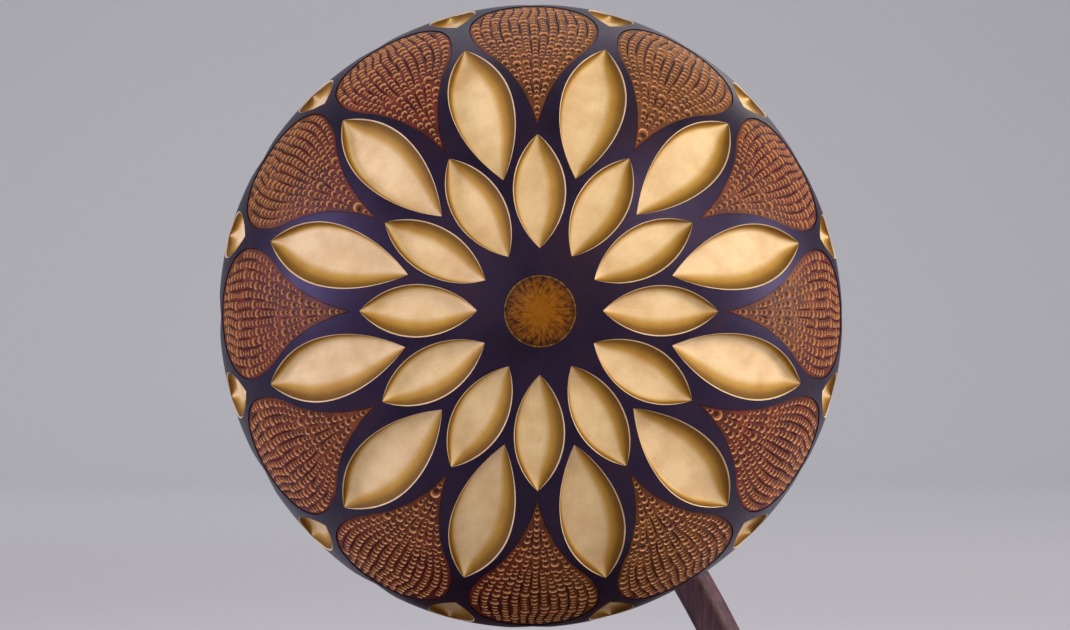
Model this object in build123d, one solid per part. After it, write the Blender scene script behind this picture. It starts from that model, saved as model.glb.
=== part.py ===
from build123d import *
from math import asin, atan2, cos, degrees, hypot, pi, radians, sin, sqrt
import os

# A carved gourd lamp: a pierced gourd shade pushed onto a turned wooden collar, which
# carries the lamp holder and tilts on a brass knuckle at the top of a bent wooden arm.
# All sizes are in millimetres. The flower end of the gourd faces -Y.

# Driving dimensions of the gourd
gourd_diameter = 240.0
gourd_front_depth = 98.0
gourd_rear_depth = 107.0
gourd_wall = 7.0
petal_depth = 4.2
panel_depth = 0.8
mouth_diameter = 84.0
gourd_centre_y = -45.0
gourd_axis_height = 184.0
carving_sectors = 12

# Eye in the middle of the flower
eye_diameter = 26.0
eye_seat_depth = 4.5
eye_seat_ledge = 3.0
eye_dome_height = 1.6
eye_clearance = 0.15

# Turned collar and the ring glued into the mouth of the gourd
ring_flange_width = 6.0
ring_flange_thickness = 3.0
ring_depth = 14.0
ring_wall = 8.0
glue_gap = 0.1
slip_clearance = 0.3
collar_thickness = 10.0
collar_spigot_length = 13.0
collar_flange_overlap = 2.0
collar_edge_round = 3.0
ring_edge_round = 1.2

# Threaded tube and its nuts
tube_diameter = 10.0
tube_bore = 7.0
thread_clearance = 0.05
nut_across_flats = 14.0
nut_thickness = 3.5
washer_diameter = 22.0
washer_thickness = 1.5

# Lamp holder
holder_neck_diameter = 15.0
holder_neck_length = 8.0
holder_dome_length = 9.0
holder_diameter = 27.0
holder_skirt_length = 34.0
holder_wall = 2.0
holder_rib_count = 24
holder_rib_depth = 0.5
holder_joint_gap = 0.1
tube_into_neck = 7.0
contact_block_thickness = 6.0
contact_block_gap = 0.2
contact_diameter = 6.0
contact_height = 1.6
socket_shell_wall = 0.5
socket_shell_length = 20.0

# Bulb
bulb_cap_diameter = 14.0
bulb_cap_length = 19.0
bulb_cap_clearance = 0.3
bulb_tip_diameter = 8.0
bulb_tip_height = 2.0
bulb_globe_diameter = 45.0
bulb_neck_diameter = 13.0
bulb_length = 78.0
cap_thread_depth = 0.5
cap_thread_turns = 5

# Knuckle
tongue_neck_diameter = 16.0
tongue_neck_length = 13.0
tongue_eye_diameter = 23.0
tongue_thickness = 8.0
tube_into_tongue = 9.0
pivot_behind_neck = 14.0
web_into_neck = 2.5
cheek_thickness = 4.0
cheek_drop = 17.0
bridge_height = 8.0
bridge_depth = 18.0
friction_washer_thickness = 0.9
face_clearance = 0.08
pin_clearance = 0.05
bolt_diameter = 6.0
bolt_head_diameter = 11.0
bolt_head_height = 4.0
bolt_slot_width = 1.2
bolt_slot_depth = 1.5
bolt_past_knob = 1.5
knob_diameter = 22.0
knob_thickness = 7.0
knob_hub_diameter = 12.0
knob_hub_length = 5.0
knob_lobes = 6
knob_scallop_share = 0.16
fork_boss_diameter = 17.0
fork_boss_length = 14.0
fork_spigot_diameter = 8.0
fork_spigot_length = 18.0
wood_clearance = 0.1

# Bent arm
arm_width = 15.0
arm_depth = 13.0
arm_edge_round = 4.0
arm_foot_edge_distance = 16.8
arm_foot_angle = 27.5
arm_bow_angle = 12.0
tenon_depth = 9.0

# Base
base_diameter = 250.0
base_thickness = 20.0
base_top_round = 7.0
base_bottom_chamfer = 1.5
felt_thickness = 2.0
felt_inset = 6.0
recess_diameter = 96.0
recess_depth = 11.0
cover_thickness = 2.0
cover_clearance = 0.4
cover_ledge_width = 7.0
cover_screw_count = 3
screw_shank_diameter = 3.0
screw_head_diameter = 6.0
screw_head_height = 1.8
screw_length = 12.0
screw_slot_width = 0.9
screw_slot_depth = 0.9
screw_clearance = 0.05
foot_screw_diameter = 4.5
foot_screw_head_diameter = 9.0
foot_screw_head_height = 3.0
foot_screw_into_arm = 9.0

# Cord inlet bush in the rear edge of the base
bush_bore = 7.0
bush_diameter = 11.0
bush_length = 12.0
bush_flange_diameter = 15.0
bush_flange_thickness = 2.5
bush_clearance = 0.1
cord_channel_diameter = 8.0

overrun = 5.0

# Derived sizes
gourd_radius = gourd_diameter / 2
mouth_radius = mouth_diameter / 2
mouth_plane = -gourd_rear_depth * sqrt(1 - (mouth_radius / gourd_radius) ** 2)
ring_back = mouth_plane - ring_flange_thickness
ring_inner_radius = mouth_radius - ring_wall
collar_front = ring_back + collar_spigot_length
collar_back = ring_back - collar_thickness
collar_flange_radius = mouth_radius + ring_flange_width + collar_flange_overlap
front_nut_front = collar_front + nut_thickness
neck_front = front_nut_front + holder_neck_length
dome_front = neck_front + holder_dome_length
skirt_front = dome_front + holder_joint_gap + holder_skirt_length
block_back = dome_front + holder_joint_gap
block_front = block_back + contact_block_thickness
bulb_back = block_front + contact_height + face_clearance
bulb_front = bulb_back + bulb_length
tube_front = front_nut_front + tube_into_neck
washer_back = collar_back - washer_thickness
rear_nut_back = washer_back - nut_thickness
tongue_neck_back = rear_nut_back - tongue_neck_length
tube_back = rear_nut_back - tube_into_tongue
pivot_axial = tongue_neck_back - pivot_behind_neck
pivot_y = gourd_centre_y - pivot_axial
cheek_inner = tongue_thickness / 2 + friction_washer_thickness + 2 * face_clearance
cheek_outer = cheek_inner + cheek_thickness
base_bottom = felt_thickness
base_top = base_bottom + base_thickness
recess_top = base_bottom + recess_depth
pocket_floor = base_top - tenon_depth
arm_foot_radius = base_diameter / 2 - arm_foot_edge_distance
arm_foot_x = arm_foot_radius * cos(radians(arm_foot_angle))
arm_foot_y = arm_foot_radius * sin(radians(arm_foot_angle))

# Everything turned is drawn with its axis along local Z, flower end up, and then
# laid along the gourd's axis
ON_GOURD_AXIS = Pos(0, gourd_centre_y, gourd_axis_height) * Rot(90, 0, 0)

# Rings of carved cells from the flower pole to the mouth: the angle on the meridian
# ellipse of each cell's widest place, its turn as a share of a sector, and its length
# before and after that place and its half width as shares of the gourd's radius. The
# panels have a knee on each inner side too: its place and its half width
inner_petal_shares = (21.5, 0.0, 0.183, 0.185, 0.078)
outer_petal_shares = (41.5, 0.5, 0.282, 0.249, 0.097)
flower_panel_shares = (64.6, 0.0, 0.454, 0.208, 0.203, 0.166, 0.144)
rim_lozenge_shares = (79.5, 0.5, 0.154, 0.127, 0.075)
side_panel_shares = (115.0, 0.5, 0.370, 0.212, 0.199, 0.208, 0.150)
side_lozenge_shares = (93.3, 0.0, 0.182, 0.240, 0.105)
rear_panel_shares = (133.8, 0.0, 0.249, 0.181, 0.150, 0.112, 0.093)
rear_petal_shares = (146.9, 0.5, 0.115, 0.116, 0.075)
PETAL_RINGS = (inner_petal_shares, outer_petal_shares, rim_lozenge_shares,
               side_lozenge_shares, rear_petal_shares)
PANEL_RINGS = (flower_panel_shares, side_panel_shares, rear_panel_shares)


def disc(radius, bottom, top):
    """Cylinder about local Z between two heights."""
    return Pos(0, 0, (bottom + top) / 2) * Cylinder(radius, top - bottom)


def gourd_egg(inset):
    """Closed gourd form, two half ellipses turned about local Z, inset all round."""
    radius = gourd_radius - inset
    front = gourd_front_depth - inset
    rear = gourd_rear_depth - inset
    front_arc = EllipticalCenterArc((0, 0), radius, front, 0, arc_size=90)
    rear_arc = EllipticalCenterArc((0, 0), radius, rear, -90, arc_size=90)
    axis_line = Line((0, front), (0, -rear))
    return revolve(Plane.XZ * make_face([front_arc, rear_arc, axis_line]), Axis.Z)


def meridian_plane(angle):
    """Plane that touches the gourd at an angle on its meridian ellipse, X towards the mouth."""
    t = radians(angle)
    depth = gourd_front_depth if angle <= 90 else gourd_rear_depth
    place = (gourd_radius * sin(t), 0, depth * cos(t))
    along = Vector(gourd_radius * cos(t), 0, -depth * sin(t)).normalized()
    outward = along.cross(Vector(0, 1, 0)) * -1
    if outward.dot(Vector(place)) < 0:
        outward = outward * -1
    return Plane(origin=place, x_dir=along, z_dir=outward)


def leaf_outline(before, after, half_width, knee_before=0, knee_half_width=0):
    """Pointed leaf of arcs, widest at its origin, tips at -before and +after on X.

    With a knee, each inner side bends there into a hollow arc that follows its neighbour.
    """
    inner_tip = (-before, 0)
    edges = []
    for side in (1, -1):
        widest = (0, side * half_width)
        edges.append(TangentArc(widest, (after, 0), tangent=(1, 0)))
        if knee_before:
            shoulder = TangentArc(widest, (-knee_before, side * knee_half_width), tangent=(-1, 0))
            edges += [shoulder, TangentArc(shoulder @ 1, inner_tip, tangent=shoulder % 1)]
        else:
            edges.append(TangentArc(widest, inner_tip, tangent=(-1, 0)))
    return make_face(edges)


def cell_cutters(ring, depth, layer):
    """One ring of carved cells with the skin layer's floor, repeated round the gourd."""
    angle, turn_share, *length_shares = ring
    outline = leaf_outline(*[share * gourd_radius for share in length_shares])
    reach = depth + 4 * overrun
    prism = meridian_plane(angle) * Pos(0, 0, -reach) * extrude(outline, 2 * reach)
    cell = prism & layer
    step = 360 / carving_sectors
    return [Rot(0, 0, (copy + turn_share) * step) * cell for copy in range(carving_sectors)]


def gourd_shell():
    """Hollow gourd with its mouth, eye seat and carved cells."""
    shell = gourd_egg(0) - gourd_egg(gourd_wall)
    shell -= disc(mouth_radius, -gourd_rear_depth - overrun, 0)
    seat_floor = gourd_front_depth - eye_seat_depth
    shell -= disc(eye_diameter / 2, seat_floor, gourd_front_depth + overrun)
    shell -= disc(eye_diameter / 2 - eye_seat_ledge, 0, gourd_front_depth)
    outside = gourd_egg(-overrun)
    cutters = []
    for depth, rings in ((petal_depth, PETAL_RINGS), (panel_depth, PANEL_RINGS)):
        layer = outside - gourd_egg(depth)
        for ring in rings:
            cutters += cell_cutters(ring, depth, layer)
    return shell.cut(*[piece for cutter in cutters for piece in cutter.solids()])


def eye_inlay():
    """Amber cabochon set in its stepped seat."""
    radius = eye_diameter / 2 - eye_clearance
    bottom = gourd_front_depth - eye_seat_depth
    drop = gourd_front_depth * (1 - sqrt(1 - (eye_diameter / gourd_diameter) ** 2))
    edge = gourd_front_depth - drop
    crown = edge + eye_dome_height
    outline = [Line((0, bottom), (radius, bottom)), Line((radius, bottom), (radius, edge)),
               TangentArc((0, crown), (radius, edge), tangent=(1, 0)), Line((0, crown), (0, bottom))]
    return revolve(Plane.XZ * make_face(outline), Axis.Z)


def mouth_ring():
    """Turned ring glued into the mouth, with a flange over the cut edge."""
    sleeve = disc(mouth_radius - glue_gap, ring_back, mouth_plane + ring_depth)
    flange = disc(mouth_radius + ring_flange_width, ring_back, mouth_plane)
    rim = flange.edges().filter_by(GeomType.CIRCLE).group_by(Axis.Z)[0]
    ring = sleeve + fillet(rim, ring_edge_round)
    return ring - disc(ring_inner_radius, ring_back - overrun, mouth_plane + ring_depth + overrun)


def rear_collar():
    """Turned collar: a spigot that the ring slips onto and a rounded flange behind it."""
    flange = disc(collar_flange_radius, collar_back, ring_back)
    rim = flange.edges().filter_by(GeomType.CIRCLE).group_by(Axis.Z)[0]
    flange = fillet(rim, collar_edge_round)
    collar = flange + disc(ring_inner_radius - slip_clearance, ring_back, collar_front)
    bore_radius = tube_diameter / 2 + thread_clearance
    return collar - disc(bore_radius, collar_back - overrun, collar_front + overrun)


def hex_nut(bottom):
    """Flat hexagon nut on the threaded tube."""
    prism = extrude(RegularPolygon(nut_across_flats / 2, 6, major_radius=False), nut_thickness)
    bore = disc(tube_diameter / 2 + thread_clearance, -overrun, nut_thickness + overrun)
    return Pos(0, 0, bottom) * (prism - bore)


def collar_washer():
    """Plain washer between the collar and its rear nut."""
    bore_radius = tube_diameter / 2 + thread_clearance
    washer = disc(washer_diameter / 2, washer_back, collar_back)
    return washer - disc(bore_radius, washer_back, collar_back)


def threaded_tube():
    """Hollow tube that the wires pass through, from the knuckle to the lamp holder."""
    return disc(tube_diameter / 2, tube_back, tube_front) - disc(tube_bore / 2, tube_back, tube_front)


def holder_cap():
    """Rear half of the lamp holder: a neck on the tube and a domed shoulder."""
    neck_radius = holder_neck_diameter / 2
    radius = holder_diameter / 2
    outer = [Line((0, front_nut_front), (neck_radius, front_nut_front)),
             Line((neck_radius, front_nut_front), (neck_radius, neck_front)),
             TangentArc((radius, dome_front), (neck_radius, neck_front), tangent=(0, -1)),
             Line((radius, dome_front), (0, dome_front)), Line((0, dome_front), (0, front_nut_front))]
    cap = revolve(Plane.XZ * make_face(outer), Axis.Z)
    hollow_radius = radius - holder_wall
    throat = (neck_radius - holder_wall, neck_front)
    hollow = [Line((0, neck_front), throat),
              TangentArc((hollow_radius, dome_front), throat, tangent=(0, -1)),
              Line((hollow_radius, dome_front), (0, dome_front)), Line((0, dome_front), (0, neck_front))]
    cap -= revolve(Plane.XZ * make_face(hollow), Axis.Z)
    return cap - disc(tube_diameter / 2 + thread_clearance, front_nut_front, neck_front + overrun)


def holder_skirt():
    """Front half of the lamp holder: a ribbed sleeve round the screw shell."""
    radius = holder_diameter / 2
    skirt = disc(radius, block_back, skirt_front) - disc(radius - holder_wall, block_back, skirt_front)
    groove_top = skirt_front - holder_wall
    groove = disc(holder_rib_depth, block_back + holder_wall, groove_top)
    grooves = [Rot(0, 0, 360 * copy / holder_rib_count) * Pos(radius, 0, 0) * groove
               for copy in range(holder_rib_count)]
    return skirt.cut(*grooves)


def contact_block():
    """Ceramic block in the back of the holder."""
    return disc(holder_diameter / 2 - holder_wall - contact_block_gap, block_back, block_front)


def centre_contact():
    """Sprung centre contact under the bulb's tip."""
    return disc(contact_diameter / 2, block_front, block_front + contact_height)


def socket_shell():
    """Brass screw shell that the bulb turns into."""
    inner = bulb_cap_diameter / 2 + bulb_cap_clearance
    outer = inner + socket_shell_wall
    top = block_front + socket_shell_length
    return disc(outer, block_front, top) - disc(inner, block_front, top)


def bulb_cap():
    """Screw cap of the bulb: a rolled thread and the centre contact tip."""
    radius = bulb_cap_diameter / 2
    start = bulb_back + bulb_tip_height
    end = bulb_back + bulb_cap_length
    pitch = (end - start) / (cap_thread_turns + 1)
    cap = disc(radius - cap_thread_depth, start, end)
    for turn in range(cap_thread_turns):
        middle = start + (turn + 1) * pitch
        rolled = Pos(0, 0, middle) * Torus(radius - cap_thread_depth, cap_thread_depth)
        cap += rolled
    tip = Pos(0, 0, bulb_back + bulb_tip_height / 2) * Cone(
        bulb_tip_diameter / 4, bulb_tip_diameter / 2, bulb_tip_height)
    return cap + tip


def bulb_glass():
    """Glass globe with a short neck into the cap."""
    neck_radius = bulb_neck_diameter / 2
    globe_radius = bulb_globe_diameter / 2
    start = bulb_back + bulb_cap_length
    centre = bulb_front - globe_radius
    sphere = Pos(0, 0, centre) * Sphere(globe_radius)
    half_spread = neck_radius / 2 + globe_radius / 2
    shoulder = centre - sqrt(globe_radius ** 2 - half_spread ** 2)
    neck = Pos(0, 0, (start + shoulder) / 2) * Cone(neck_radius, half_spread, shoulder - start)
    return neck + sphere


def knuckle_tongue():
    """Brass tongue: a round neck that screws on the tube, and a flat eye for the pin."""
    neck = disc(tongue_neck_diameter / 2, tongue_neck_back, rear_nut_back)
    eye = Pos(0, 0, pivot_axial) * Rot(0, 90, 0) * Cylinder(tongue_eye_diameter / 2, tongue_thickness)
    web_top = tongue_neck_back + web_into_neck
    web = Pos(0, 0, (pivot_axial + web_top) / 2) * Box(
        tongue_thickness, tongue_neck_diameter, web_top - pivot_axial)
    tongue = neck + eye + web
    tongue -= disc(tube_diameter / 2 + thread_clearance, tube_back, rear_nut_back)
    pin_hole = Rot(0, 90, 0) * Cylinder(bolt_diameter / 2 + pin_clearance, tongue_thickness + overrun)
    return tongue - Pos(0, 0, pivot_axial) * pin_hole


# Stand parts are drawn in the lamp's own frame
PIVOT = Vector(0, pivot_y, gourd_axis_height)
AT_PIVOT = Pos(PIVOT.X, PIVOT.Y, PIVOT.Z)


def across(radius, start, end):
    """Cylinder along X through the pivot line, between two X places."""
    return Pos((start + end) / 2, 0, 0) * Rot(0, 90, 0) * Cylinder(radius, end - start)


def arm_geometry():
    """Arm's end points and the circle between them, in the upright plane of the arm."""
    foot = Vector(arm_foot_x, arm_foot_y, base_top)
    block_middle = PIVOT - Vector(0, 0, cheek_drop + bridge_height / 2)
    level = Vector(foot.X - block_middle.X, foot.Y - block_middle.Y, 0)
    reach = level.length
    level = level.normalized()
    lean = atan2(reach, block_middle.Z - foot.Z)
    top_lean = lean + radians(arm_bow_angle)
    down = level * sin(top_lean) - Vector(0, 0, cos(top_lean))
    top = block_middle + down * fork_boss_length
    return foot, top, level, down


ARM_FOOT, ARM_TOP, ARM_LEVEL, ARM_DOWN = arm_geometry()


def arm_path():
    """Arc of the arm from the fork boss down through the base's top to the tenon's depth."""
    plane = Plane(origin=ARM_TOP, x_dir=ARM_LEVEL, z_dir=ARM_LEVEL.cross(Vector(0, 0, 1)))
    foot = plane.to_local_coords(ARM_FOOT)
    down = (ARM_DOWN.dot(ARM_LEVEL), ARM_DOWN.Z)
    to_foot = hypot(foot.X, foot.Y)
    turn = 2 * asin((down[0] * foot.Y - down[1] * foot.X) / to_foot)
    radius = abs(to_foot / 2 / sin(turn / 2))
    extra = (tenon_depth + arm_width) / radius
    whole = turn + (extra if turn > 0 else -extra)
    arc = JernArc((0, 0), down, radius, degrees(whole))
    return plane, arc


def arm_section(plane, arc, grow):
    """Rounded rectangle across the start of the arm's arc."""
    start = plane * arc
    section = Plane(origin=start @ 0, x_dir=plane.z_dir, z_dir=start % 0)
    outline = RectangleRounded(arm_depth + 2 * grow, arm_width + 2 * grow, arm_edge_round + grow)
    return start, section * outline


def arm_solid(grow):
    """Bent arm, its tenon cut level at the bottom of its pocket."""
    plane, arc = arm_path()
    path, section = arm_section(plane, arc, grow)
    body = sweep(section, path=path)
    trim = Pos(arm_foot_x, arm_foot_y, pocket_floor - base_diameter / 2) * Box(
        base_diameter, base_diameter, base_diameter)
    return body - trim


ARM_BODY = arm_solid(0)
TENON_END = ARM_BODY.faces().sort_by(Axis.Z)[0].center()


def foot_screw_hole(grow):
    """Shank and head of the screw from under the base into the tenon."""
    shank = disc(foot_screw_diameter / 2 + grow, base_bottom, pocket_floor + foot_screw_into_arm + grow)
    head_top = base_bottom + foot_screw_head_height + grow
    head = disc(foot_screw_head_diameter / 2 + grow, base_bottom, head_top)
    return Pos(TENON_END.X, TENON_END.Y, 0) * (shank + head)


def arm_screw():
    """Screw that pulls the arm's tenon into the base."""
    slot = Pos(TENON_END.X, TENON_END.Y, base_bottom) * Box(
        foot_screw_head_diameter + overrun, bolt_slot_width, 2 * screw_slot_depth)
    return foot_screw_hole(0) - slot


def bent_arm():
    """Wooden arm with a hole for the fork's spigot and one for its screw."""
    spigot_plane = Plane(origin=ARM_TOP, z_dir=ARM_DOWN)
    spigot_hole = spigot_plane * disc(
        fork_spigot_diameter / 2 + wood_clearance, 0, fork_spigot_length + wood_clearance)
    return ARM_BODY - spigot_hole - foot_screw_hole(screw_clearance)


def knuckle_fork():
    """Brass fork: two cheeks on a bridge, a leaning boss and a spigot into the arm."""
    cheeks = []
    for side in (1, -1):
        middle = side * (cheek_inner + cheek_outer) / 2
        eye = Pos(middle, 0, 0) * Rot(0, 90, 0) * Cylinder(tongue_eye_diameter / 2, cheek_thickness)
        drop = Pos(middle, 0, -cheek_drop / 2) * Box(cheek_thickness, bridge_depth, cheek_drop)
        cheeks.append(eye + drop)
    bridge = Pos(0, 0, -cheek_drop - bridge_height / 2) * Box(2 * cheek_outer, bridge_depth, bridge_height)
    fork = cheeks[0] + cheeks[1] + bridge
    fork -= across(bolt_diameter / 2 + pin_clearance, -cheek_outer - overrun, cheek_outer + overrun)
    fork = AT_PIVOT * fork
    boss_plane = Plane(origin=ARM_TOP, z_dir=ARM_DOWN)
    boss = boss_plane * disc(fork_boss_diameter / 2, -fork_boss_length, 0)
    fork += boss & AT_PIVOT * Pos(0, 0, -cheek_drop - base_diameter / 2) * Box(
        base_diameter, base_diameter, base_diameter)
    return fork + boss_plane * disc(fork_spigot_diameter / 2, -overrun, fork_spigot_length)


def friction_washers():
    """Two fibre washers between the tongue and the cheeks."""
    inner = tongue_thickness / 2 + face_clearance
    outer = inner + friction_washer_thickness
    washers = []
    for start, end in ((inner, outer), (-outer, -inner)):
        ring = across(bridge_depth / 2, start, end) - across(bolt_diameter / 2 + pin_clearance, start, end)
        washers.append(AT_PIVOT * ring)
    return Compound(children=washers)


def tilt_bolt():
    """Slotted bolt through the knuckle, its head on the left and its thread in the knob."""
    end = cheek_outer + face_clearance + knob_hub_length + knob_thickness + bolt_past_knob
    head_start = -cheek_outer - bolt_head_height
    bolt = across(bolt_diameter / 2, -cheek_outer, end)
    bolt += across(bolt_head_diameter / 2, head_start, -cheek_outer)
    slot = Pos(head_start, 0, 0) * Box(2 * bolt_slot_depth, bolt_slot_width, bolt_head_diameter + overrun)
    return AT_PIVOT * (bolt - slot)


def tilt_knob():
    """Lobed clamping knob on the bolt's thread."""
    start = cheek_outer + face_clearance
    hub_end = start + knob_hub_length
    end = hub_end + knob_thickness
    knob = across(knob_hub_diameter / 2, start, hub_end) + across(knob_diameter / 2, hub_end, end)
    scallop = Cylinder(knob_diameter * knob_scallop_share, knob_thickness + overrun)
    scallop_place = knob_diameter * (1 + knob_scallop_share) / 2
    for lobe in range(knob_lobes):
        around = Rot(360 * lobe / knob_lobes, 0, 0) * Pos(0, 0, scallop_place)
        knob -= around * Pos((hub_end + end) / 2, 0, 0) * Rot(0, 90, 0) * scallop
    knob -= across(bolt_diameter / 2 + pin_clearance, start - overrun, end + overrun)
    return AT_PIVOT * knob


def cover_screw_places():
    """Centres of the cover's screws, on the ledge of the recess."""
    radius = recess_diameter / 2 - cover_ledge_width / 2
    turns = [2 * pi * (copy + 1 / 2) / cover_screw_count for copy in range(cover_screw_count)]
    return [(radius * sin(turn), radius * cos(turn)) for turn in turns]


def cover_screw_form(grow):
    """Shanks and heads of the cover's screws."""
    forms = []
    for x, y in cover_screw_places():
        shank = disc(screw_shank_diameter / 2 + grow, base_bottom, base_bottom + screw_length + grow)
        head = disc(screw_head_diameter / 2 + grow, base_bottom, base_bottom + screw_head_height + grow)
        forms.append(Pos(x, y, 0) * (shank + head))
    return forms


def cover_screws():
    """Slotted screws that hold the cover."""
    slots = []
    for x, y in cover_screw_places():
        slot = Pos(x, y, base_bottom) * Box(
            screw_head_diameter + overrun, screw_slot_width, 2 * screw_slot_depth)
        slots.append(slot)
    return Compound(children=[form - slot for form, slot in zip(cover_screw_form(0), slots)])


def base_disc():
    """Turned wooden base with the wiring recess, the arm's pocket and the cord channel."""
    base = disc(base_diameter / 2, base_bottom, base_top)
    rims = base.edges().filter_by(GeomType.CIRCLE).sort_by(Axis.Z)
    base = fillet(rims[-1], base_top_round)
    rims = base.edges().filter_by(GeomType.CIRCLE).sort_by(Axis.Z)
    base = chamfer(rims[0], base_bottom_chamfer)
    ledge_radius = recess_diameter / 2 - cover_ledge_width
    base -= disc(recess_diameter / 2, base_bottom, base_bottom + cover_thickness)
    base -= disc(ledge_radius, base_bottom, recess_top)
    base -= arm_solid(wood_clearance)
    base -= foot_screw_hole(screw_clearance)
    for form in cover_screw_form(screw_clearance):
        base -= form
    edge = base_diameter / 2
    channel = Plane.XZ.offset(-ledge_radius + overrun) * Cylinder(
        cord_channel_diameter / 2, edge, align=(Align.CENTER, Align.CENTER, Align.MAX))
    base -= Pos(0, 0, (base_bottom + recess_top) / 2) * channel
    return base - bush_form(bush_clearance)


def bush_form(grow):
    """Outside of the cord bush: a sleeve in the edge of the base and a flange outside."""
    seat = base_diameter / 2 - bush_flange_thickness
    sleeve = disc(bush_diameter / 2 + grow, bush_flange_thickness - bush_length, bush_flange_thickness)
    flange = disc(bush_flange_diameter / 2 + grow, 0, bush_flange_thickness)
    form = Rot(-90, 0, 0) * (sleeve + flange)
    return Pos(0, seat, (base_bottom + recess_top) / 2) * form


def cord_bush():
    """Bush that the cord would pass through, in the rear edge of the base."""
    bore = Rot(-90, 0, 0) * Cylinder(bush_bore / 2, 4 * bush_length)
    seat = base_diameter / 2 - bush_flange_thickness
    return bush_form(0) - Pos(0, seat, (base_bottom + recess_top) / 2) * bore


def base_cover():
    """Round cover plate under the wiring recess."""
    plate = disc(recess_diameter / 2 - cover_clearance, base_bottom, base_bottom + cover_thickness)
    for form in cover_screw_form(screw_clearance):
        plate -= form
    return plate


def felt_pad():
    """Felt ring that the lamp stands on."""
    outer = base_diameter / 2 - felt_inset
    return disc(outer, 0, base_bottom) - disc(recess_diameter / 2 + cover_clearance, 0, base_bottom)


turned_parts = {
    "gourd_shell": gourd_shell(),
    "eye_inlay": eye_inlay(),
    "mouth_ring": mouth_ring(),
    "rear_collar": rear_collar(),
    "front_nut": hex_nut(collar_front),
    "rear_nut": hex_nut(rear_nut_back),
    "collar_washer": collar_washer(),
    "threaded_tube": threaded_tube(),
    "holder_cap": holder_cap(),
    "holder_skirt": holder_skirt(),
    "contact_block": contact_block(),
    "centre_contact": centre_contact(),
    "socket_shell": socket_shell(),
    "bulb_cap": bulb_cap(),
    "bulb_glass": bulb_glass(),
    "knuckle_tongue": knuckle_tongue(),
}
stand_parts = {
    "knuckle_fork": knuckle_fork(),
    "friction_washers": friction_washers(),
    "tilt_bolt": tilt_bolt(),
    "tilt_knob": tilt_knob(),
    "bent_arm": bent_arm(),
    "arm_screw": arm_screw(),
    "base_disc": base_disc(),
    "base_cover": base_cover(),
    "cover_screws": cover_screws(),
    "cord_bush": cord_bush(),
    "felt_pad": felt_pad(),
}

os.makedirs("parts", exist_ok=True)
for name, shape in turned_parts.items():
    export_step(ON_GOURD_AXIS * shape, f"parts/{name}.step")
for name, shape in stand_parts.items():
    export_step(shape, f"parts/{name}.step")
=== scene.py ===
"""Dress the carved gourd lamp: the carved shade, its amber eye, and the wooden and brass stand.

The gourd is a turned form of two half ellipses. Every carved cell is a leaf of four arcs drawn on a plane that
touches the gourd, and is seated on the gourd along that plane's normal, as the solids are.
"""

import logging
import math
from dataclasses import dataclass
from enum import Enum, IntEnum
from functools import cache, cached_property

import bpy
import numpy as np
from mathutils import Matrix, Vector
from mathutils.geometry import delaunay_2d_cdt


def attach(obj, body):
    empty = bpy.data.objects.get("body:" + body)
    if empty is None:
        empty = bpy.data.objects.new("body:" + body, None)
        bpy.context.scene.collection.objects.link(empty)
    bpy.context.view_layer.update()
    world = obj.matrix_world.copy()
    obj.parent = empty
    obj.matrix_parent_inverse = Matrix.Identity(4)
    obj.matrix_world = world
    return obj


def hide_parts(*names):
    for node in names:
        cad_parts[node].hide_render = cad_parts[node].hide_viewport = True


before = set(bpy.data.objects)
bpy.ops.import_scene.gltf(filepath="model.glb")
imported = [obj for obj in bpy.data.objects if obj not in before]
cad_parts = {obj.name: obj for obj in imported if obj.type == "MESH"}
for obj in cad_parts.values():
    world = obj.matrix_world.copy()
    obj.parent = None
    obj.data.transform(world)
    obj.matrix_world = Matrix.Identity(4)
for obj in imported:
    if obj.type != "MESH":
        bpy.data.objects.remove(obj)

LOG = logging.getLogger("gourd_lamp")
MM = 0.001
SECTORS = 12
SECTOR = 2 * math.pi / SECTORS
SEED = 12

# Points closer than this are joined.
WELD = 2e-7
# The flat triangulation works on places enlarged to about unit size, to this tolerance, and drops slivers.
CDT_SCALE, CDT_TOLERANCE, LEAST_AREA = 100.0, 1e-7, 1e-14
# Points that a leaf's outline and the lanes of a panel are worked out at.
PROFILE_POINTS, LANE_POINTS = 800, 900
# Stations along a leaf: this share of them crowds towards the tips and that share is even.
TIP_SHARE, EVEN_SHARE = 0.8, 0.2

# Slow waves, each as its strength, its rates over the first and the second value, and its start.
Waves = tuple[tuple[float, float, float, float], ...]
WANDER, SWELL = 0.45 * MM, 0.5 * MM
ACROSS_WAVES: Waves = ((1.0, 3, 2, 0.7), (0.6, 7, 3, 2.1))
ALONG_WAVES: Waves = ((1.0, 2, 3, -1.1), (0.6, 5, 0, 2.2))
SWELL_WAVES: Waves = ((1.0, 4, 1.5, 0.4),)
ROW_WAVES: Waves = ((1.0, 5.0, 2.0, 0.8), (0.5, 9.0, -3.0, 0.0))
EYE_FADE, MOUTH_FADE = 0.30, 0.35


def linear(hex_colour: str) -> tuple[float, float, float, float]:
    """Turn an sRGB hex colour into linear values.

    Args:
        hex_colour: A hash sign and six hex digits.

    Returns:
        Linear red, green and blue, and an alpha of 1.
    """
    digits = hex_colour.lstrip("#")
    srgb = np.array([int(digits[i:i + 2], 16) / 255 for i in (0, 2, 4)])
    values = np.where(srgb <= 0.04045, srgb / 12.92, ((srgb + 0.055) / 1.055) ** 2.4)
    return (float(values[0]), float(values[1]), float(values[2]), 1.0)


def waves(table: Waves, first: np.ndarray | float, second: np.ndarray | float) -> np.ndarray | float:
    """Sum of waves: strength times the sine of both values times their rates plus the start."""
    return sum(strength * np.sin(rate * first + other * second + start) for strength, rate, other, start in table)


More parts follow.
